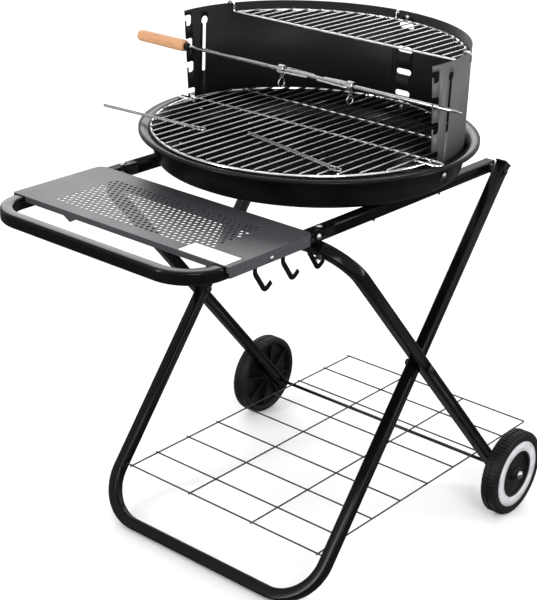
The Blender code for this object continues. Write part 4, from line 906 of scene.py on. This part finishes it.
# ------------------------------------------------------------------ warming rack
a_end = math.acos(RACK_CHORD / RACK_R)
arc = [(RACK_R * math.cos(t), RACK_R * math.sin(t), RACK_Z)
       for t in [-a_end + 2 * a_end * k / 90 for k in range(91)]]
rack = wire("warming_rack", arc, 0.0018)
y_e = RACK_R * math.sin(a_end)
y_s = math.sqrt((SCREEN_R + 0.0012) ** 2 - RACK_CHORD ** 2)
hook_z = SCREEN_TOP + GAP + 0.0018
front = fillet([(RACK_CHORD, -(y_s + 0.0060), RACK_Z + 0.0020), (RACK_CHORD, -(y_s + 0.0060), hook_z),
                (RACK_CHORD, -(y_e + 0.0040), hook_z), (RACK_CHORD, -(y_e + 0.0040), RACK_Z + 0.0002),
                (RACK_CHORD, y_e + 0.0040, RACK_Z + 0.0002), (RACK_CHORD, y_e + 0.0040, hook_z),
                (RACK_CHORD, y_s + 0.0060, hook_z), (RACK_CHORD, y_s + 0.0060, RACK_Z + 0.0020)],
               [0.004, 0.004, 0.004, 0.004, 0.004, 0.004], 6)
chord = wire("chord", front, 0.0018)
bm = bmesh.new()
add_rod(bm, (RACK_CHORD, -y_e, RACK_Z), (RACK_CHORD, y_e, RACK_Z), 0.0014, 6)
tie = mesh_object("tie", bm)
rear = fillet([(RACK_R - 0.0130, 0.0145, RACK_Z), (RACK_R + 0.0040, 0.0145, RACK_Z), (RACK_R + 0.0040, 0.0145, SCREEN_TOP - 0.0028),
               (SCREEN_R + 0.0060, 0.0145, SCREEN_TOP - 0.0028), (SCREEN_R + 0.0060, 0.0145, RACK_Z + 0.0010)],
              [0.003, 0.003, 0.003], 6)
rear_hook = wire("rear_hook", rear, 0.0016)
bm = bmesh.new()
i = 0.5
pitch = 0.0180
while i * pitch < y_e - 0.014:
    for sgn in (-1, 1):
        y = sgn * i * pitch
        add_rod(bm, (RACK_CHORD, y, RACK_Z + 0.0021), (math.sqrt(RACK_R ** 2 - y * y), y, RACK_Z + 0.0021), 0.0013, 10)
    i += 1
rbars = mesh_object("rbars", bm)
unite(rack, chord, rbars, rear_hook, tie)
place(smooth(rack), "chrome")

# ------------------------------------------------------------------ rotisserie spit
along = aligned((SPIT_X, 0, SPIT_Z), (0, 1, 0), (0, 0, 1))
# heights along local Z are world Y
rod_prof = [(0.0, 0.3400), (SPIT_R - 0.0002, 0.3400), (SPIT_R, 0.3395), (SPIT_R, -0.2700), (0.0006, -0.2900), (0.0, -0.2902)]
place(lathe("spit_rod", rod_prof, along, 28), "bright_steel")
fer = [(SPIT_R + GAP, 0.2540), (0.0064, 0.2540), (0.0066, 0.2532), (0.0056, 0.2490), (0.0050, 0.2478), (SPIT_R + GAP, 0.2478)]
place(ring_lathe("spit_ferrule", fer, along, 40), "black_gloss")
HB = SPIT_R + GAP
handle_prof = [(0.0, 0.3610), (0.0062, 0.3606), (0.0086, 0.3588), (0.0096, 0.3550), (0.0097, 0.3400), (0.0096, 0.3200),
               (0.0098, 0.3000), (0.0100, 0.2800), (0.0099, 0.2620), (0.0092, 0.2560), (0.0078, 0.2544),
               (HB, 0.2543), (HB, 0.3404), (0.0, 0.3404)]
place(lathe("spit_handle", handle_prof, along, 48), "beech")

for tag, fy, d in (("left", FORK_Y[0], -1), ("right", FORK_Y[1], 1)):
    # collar with a bore for the rod and a threaded hole for the screw
    col = ring_lathe("spit_fork_" + tag,
                     [(SPIT_R + GAP, fy + 0.0060), (0.0068, fy + 0.0060), (0.0075, fy + 0.0052),
                      (0.0075, fy - 0.0052), (0.0068, fy - 0.0060), (SPIT_R + GAP, fy - 0.0060)], along, 40)
    bake(col)
    r_t = 0.0100
    tines = []
    for sgn in (-1, 1):
        y_tip = fy + d * 0.058
        pts = fillet([(SPIT_X + sgn * 0.0058, fy, SPIT_Z), (SPIT_X + sgn * (r_t + 0.0040), fy, SPIT_Z),
                      (SPIT_X + sgn * r_t, y_tip, SPIT_Z)], [0.004], 8)
        tines.append(wire("tine", pts, 0.0014))
    unite(col, *tines)
    drill(col, [((SPIT_X, fy, SPIT_Z - 0.0060), Z, 0.0022, 0.0100)], 10)
    place(smooth(col), "bright_steel")
    # thumbscrew: short shank with a ring to turn it by
    shank = lathe("fork_thumbscrew_" + tag,
                  [(0.0, -0.0034), (0.0019, -0.0034), (0.0019, -0.0090), (0.0030, -0.0098), (0.0030, -0.0130),
                   (0.0017, -0.0145), (0.0, -0.0150)], Matrix.Translation((SPIT_X, fy, SPIT_Z)), 28)
    bake(shank)
    bpy.ops.mesh.primitive_torus_add(major_segments=40, minor_segments=12, major_radius=0.0075, minor_radius=0.0013,
                                     location=(SPIT_X, fy, SPIT_Z - 0.0212), rotation=(math.radians(90), 0, 0))
    eye = bpy.context.object
    unite(shank, eye)
    place(smooth(shank), "bright_steel")

# ------------------------------------------------------------------ two-pronged skewers on the grate
sk_z = bar_z + 0.0016 + GAP + 0.0013
for tag, tip, eye in (("left", (-0.1650, 0.2970), (-0.1490, 0.0920)), ("right", (-0.1110, 0.0340), (-0.1580, -0.1800))):
    t, e = Vector((*tip, 0)), Vector((*eye, 0))
    u = (e - t).normalized()
    w = Vector((-u.y, u.x, 0))
    pts = [t + w * 0.0030, e - u * 0.020 + w * 0.0030, e - u * 0.014 + w * 0.0060, e + w * 0.0060,
           e + u * 0.0055, e - w * 0.0060, e - u * 0.014 - w * 0.0060, e - u * 0.020 - w * 0.0030, t + u * 0.006 - w * 0.0030]
    pts = fillet([Vector((p.x, p.y, sk_z)) for p in pts], [0.010, 0.006, 0.004, 0.004, 0.004, 0.006, 0.010], 8)
    sk = wire("skewer_" + tag, pts, 0.0013)
    mid = (t + e) / 2
    place(smooth(sk), "steel")

# ------------------------------------------------------------------ wire shelf
cross_z = SHELF_Z + 2 * WIRE_R - 0.0006
bm = bmesh.new()
for y in (-SHELF_HALF, -0.0685, 0.0685, SHELF_HALF):
    add_rod(bm, (SHELF_FRONT_X - 0.0012, y, SHELF_Z), (SHELF_REAR_X + 0.0012, y, SHELF_Z), WIRE_R, 12)
shelf = mesh_object("wire_shelf", bm)
bm = bmesh.new()
step = (SHELF_REAR_X + 0.1290) / 7
for x in [-0.1290 + k * step for k in range(8)]:
    add_rod(bm, (x, -SHELF_HALF - 0.0012, cross_z), (x, SHELF_HALF + 0.0012, cross_z), WIRE_R, 12)
add_rod(bm, (SHELF_FRONT_X, -SHELF_STUB, cross_z), (SHELF_FRONT_X, SHELF_STUB, cross_z), WIRE_R, 12)
rungs = mesh_object("rungs", bm)
unite(shelf, rungs)
place(smooth(shelf), "shelf_wire")

# ------------------------------------------------------------------ axle and wheels
ax_m = aligned((AXLE_X, 0, AXLE_Z), (0, 1, 0))
place(lathe("wheel_axle", [(0, 0.3030 + FAR_FLOAT), (AXLE_R, 0.3030 + FAR_FLOAT), (AXLE_R, -0.3030), (0, -0.3030)], ax_m, 28), "shelf_wire")
for side, sy in (("near", -1), ("far", 1)):
    m = aligned((AXLE_X, FAR_FLOAT if sy > 0 else 0.0, AXLE_Z), (0, sy, 0))
    bore = AXLE_R + GAP
    prof = [(bore, WHEEL_OUT + 0.0005), (0.0120, WHEEL_OUT + 0.0005), (0.0150, WHEEL_OUT - 0.0015), (0.0160, WHEEL_OUT - 0.0080),
            (0.0380, WHEEL_OUT - 0.0080), (0.0400, WHEEL_OUT - 0.0020),
            (0.0610, WHEEL_OUT - 0.0020), (0.0625, WHEEL_OUT), (WHEEL_R - 0.0035, WHEEL_OUT),
            (WHEEL_R, WHEEL_OUT - 0.0050), (WHEEL_R, WHEEL_IN + 0.0050), (WHEEL_R - 0.0035, WHEEL_IN), (0.0650, WHEEL_IN),
            (0.0620, WHEEL_IN + 0.0080), (0.0200, WHEEL_IN + 0.0080), (0.0150, WHEEL_IN - 0.0050), (bore, WHEEL_IN - 0.0100)]
    ribs = 66
    bm = bmesh.new()
    w0, w1 = WHEEL_IN, WHEEL_OUT
    outline = [(bore, w1 + 0.0005), (0.0112, w1 + 0.0005), (0.0120, w1 + 0.0001), (0.0128, w1 - 0.0012), (0.0135, w1 - 0.0074), (0.0145, w1 - 0.0080),
               (0.0290, w1 - 0.0080), (0.0296, w1 - 0.0072), (0.0312, w1 - 0.0072), (0.0318, w1 - 0.0080),
               (0.0376, w1 - 0.0080), (0.0390, w1 - 0.0072), (0.0398, w1 - 0.0026), (0.0404, w1 - 0.0020),
               (0.0606, w1 - 0.0020), (0.0612, w1 - 0.0016), (0.0622, w1 - 0.0002), (0.0632, w1), (WHEEL_R - 0.0050, w1), (WHEEL_R - 0.0036, w1 - 0.0004),
               (WHEEL_R - 0.0014, w1 - 0.0018), (WHEEL_R - 0.0002, w1 - 0.0040), (WHEEL_R, w1 - 0.0060),
               (WHEEL_R, (w0 + w1) / 2 + 0.0016), (WHEEL_R - 0.0022, (w0 + w1) / 2 + 0.0012), (WHEEL_R - 0.0022, (w0 + w1) / 2 - 0.0012),
               (WHEEL_R, (w0 + w1) / 2 - 0.0016), (WHEEL_R, w0 + 0.0060), (WHEEL_R - 0.0002, w0 + 0.0040),
               (WHEEL_R - 0.0014, w0 + 0.0018), (WHEEL_R - 0.0036, w0 + 0.0004), (WHEEL_R - 0.0050, w0),
               (0.0665, w0), (0.0655, w0 + 0.0004), (0.0645, w0 + 0.0016), (0.0622, w0 + 0.0110), (0.0200, w0 + 0.0110), (0.0170, w0 + 0.0090),
               (0.0140, w0 - 0.0050), (0.0128, w0 - 0.0090), (0.0112, w0 - 0.0100), (bore, w0 - 0.0100)]
    loops = []
    for k in range(ribs * 4):
        a = 2 * math.pi * (k + 0.5 * (k % 2) - 0.25) / (ribs * 4)
        low = k % 4 in (2, 3)
        row = []
        for q, h in outline:
            deep = 0.0016 if low and q > WHEEL_R - 0.0020 and h > w0 + 0.0010 and h < w1 - 0.0010 else 0.0
            row.append(bm.verts.new(((q - deep) * math.cos(a), (q - deep) * math.sin(a), h)))
        loops.append(row)
    for k in range(len(loops)):
        one, two = loops[k], loops[(k + 1) % len(loops)]
        for q in range(len(outline)):
            n = (q + 1) % len(outline)
            bm.faces.new((one[q], one[n], two[n], two[q]))
    bmesh.ops.recalc_face_normals(bm, faces=bm.faces)
    wheel = mesh_object("wheel_" + side, bm, m)
    place(smooth(wheel, 30.0), "tyre")
    # eight webs stiffen the inner side
    bm = bmesh.new()
    for k in range(8):
        a = math.radians(45 * k + 10)
        u, w = Vector((math.cos(a), math.sin(a), 0)), Vector((-math.sin(a), math.cos(a), 0))
        for half, z0, z1 in ((0.0014, w0 + 0.0035, w0 + 0.0112),):
            c = [(0.0150, z0 - 0.0050), (0.0150, z1), (0.0632, z1), (0.0632, z0)]
            vs = [[bm.verts.new(u * q + w * sgn * half + Vector((0, 0, h))) for q, h in c] for sgn in (-1, 1)]
            bm.faces.new(vs[0])
            bm.faces.new(list(reversed(vs[1])))
            for q in range(4):
                bm.faces.new((vs[0][q], vs[1][q], vs[1][(q + 1) % 4], vs[0][(q + 1) % 4]))
    bmesh.ops.recalc_face_normals(bm, faces=bm.faces)
    place(mesh_object("wheel_webs_" + side, bm, m), "tyre", rides=BODY_OF["wheel_" + side])
    band = [(RING_IN, WHEEL_OUT - 0.0004), (RING_OUT, WHEEL_OUT - 0.0004), (RING_OUT, WHEEL_OUT - 0.0020 + GAP),
            (RING_IN, WHEEL_OUT - 0.0020 + GAP)]
    place(ring_lathe("wheel_ring_" + side, band, m, 120), "ring")
    cap = [(0.0, 0.3062), (0.0035, 0.3058), (0.0068, 0.3040), (0.0078, 0.3012), (0.0078, WHEEL_OUT + 0.0009),
           (AXLE_R + GAP, WHEEL_OUT + 0.0009), (AXLE_R + GAP, 0.3034), (0.0, 0.3034)]
    place(lathe("axle_cap_" + side, cap, m, 40), "zinc")


# ------------------------------------------------------------------ tidy up
for o in list(cutters.objects):
    bpy.data.objects.remove(o, do_unlink=True)
bpy.data.collections.remove(cutters)

# ------------------------------------------------------------------ floor, light, camera
bm = bmesh.new()
bmesh.ops.create_grid(bm, x_segments=2, y_segments=2, size=14.0, matrix=Matrix.Translation((0, 0, -0.0004)))
floor = mesh_object("floor", bm)
fm, ns, ln, b = shader("pale_floor", (0.93, 0.93, 0.93), 0.0, 0.9, 0.0)
ln.new(ramp(ns, ln, noise(ns, ln, 2.0, 2.0), [(0.3, 0.92), (0.7, 0.94)]), b.inputs["Base Color"])
floor.data.materials.append(fm)
floor.visible_glossy = False  # dark card below for the gloss, as in a product studio

world = bpy.data.worlds.new("studio")
world.use_nodes = True
wn, wl = world.node_tree.nodes, world.node_tree.links
bg = wn["Background"]
tc = wn.new("ShaderNodeTexCoord")
sep = wn.new("ShaderNodeSeparateXYZ")
wl.new(tc.outputs["Generated"], sep.inputs["Vector"])
r = wn.new("ShaderNodeValToRGB")
els = r.color_ramp.elements
els.new(0.5)
els.new(0.6)
els.new(0.7)
up_half = wn.new("ShaderNodeMath")
up_half.operation = "MULTIPLY_ADD"
up_half.inputs[1].default_value = 0.5
up_half.inputs[2].default_value = 0.5
for e, (p, c) in zip(els, ((0.0, 0.10), (0.46, 0.22), (0.53, 0.90), (0.70, 0.95), (1.0, 0.46))):
    e.position = p
    e.color = (c, c, c, 1.0)
wl.new(sep.outputs["Z"], up_half.inputs[0])
wl.new(up_half.outputs["Value"], r.inputs["Fac"])
wl.new(r.outputs["Color"], bg.inputs["Color"])
bg.inputs["Strength"].default_value = 0.95
scene.view_settings.view_transform = "Standard"
scene.world = world


def area(name, at, size, power, aim=(0.0, 0.0, 0.45)):
    li = bpy.data.lights.new(name, "AREA")
    li.shape = "RECTANGLE"
    li.size, li.size_y = size
    li.energy = power
    o = bpy.data.objects.new(name, li)
    o.location = at
    o.rotation_euler = (Vector(aim) - Vector(at)).to_track_quat("-Z", "Y").to_euler()
    scene.collection.objects.link(o)
    return o


area("key_light", (-1.8, -2.8, 2.4), (1.4, 1.4), 62.0)
area("top_light", (0.3, 0.2, 3.4), (3.2, 3.2), 34.0)
area("left_strip", (-2.6, 0.9, 1.5), (0.30, 2.4), 42.0)
area("right_strip", (1.6, -2.6, 1.3), (0.30, 2.4), 34.0)
area("back_panel", (3.3, 2.7, 2.4), (4.6, 1.7), 80.0)

yaw, pitch, roll = math.radians(39.2503), math.radians(22.9868), math.radians(2.1136)
look = Vector((math.cos(yaw) * math.cos(pitch), math.sin(yaw) * math.cos(pitch), -math.sin(pitch)))
right = Vector((math.sin(yaw), -math.cos(yaw), 0.0))
up = right.cross(look)
cam_x = right * math.cos(roll) + up * math.sin(roll)
cam_y = up * math.cos(roll) - right * math.sin(roll)
cd = bpy.data.cameras.new("camera")
cd.sensor_fit = "VERTICAL"
cd.sensor_height = 36.0
cd.lens = 1527.85 * 36.0 / 600.0
cd.clip_end = 60.0
cam = bpy.data.objects.new("camera", cd)
m = Matrix((cam_x, cam_y, -look)).transposed().to_4x4()
m.translation = Vector((-1.8446 + OFFSET_X, -1.4371 + OFFSET_Y, 1.3858))
cam.matrix_world = m
scene.collection.objects.link(cam)
scene.camera = cam
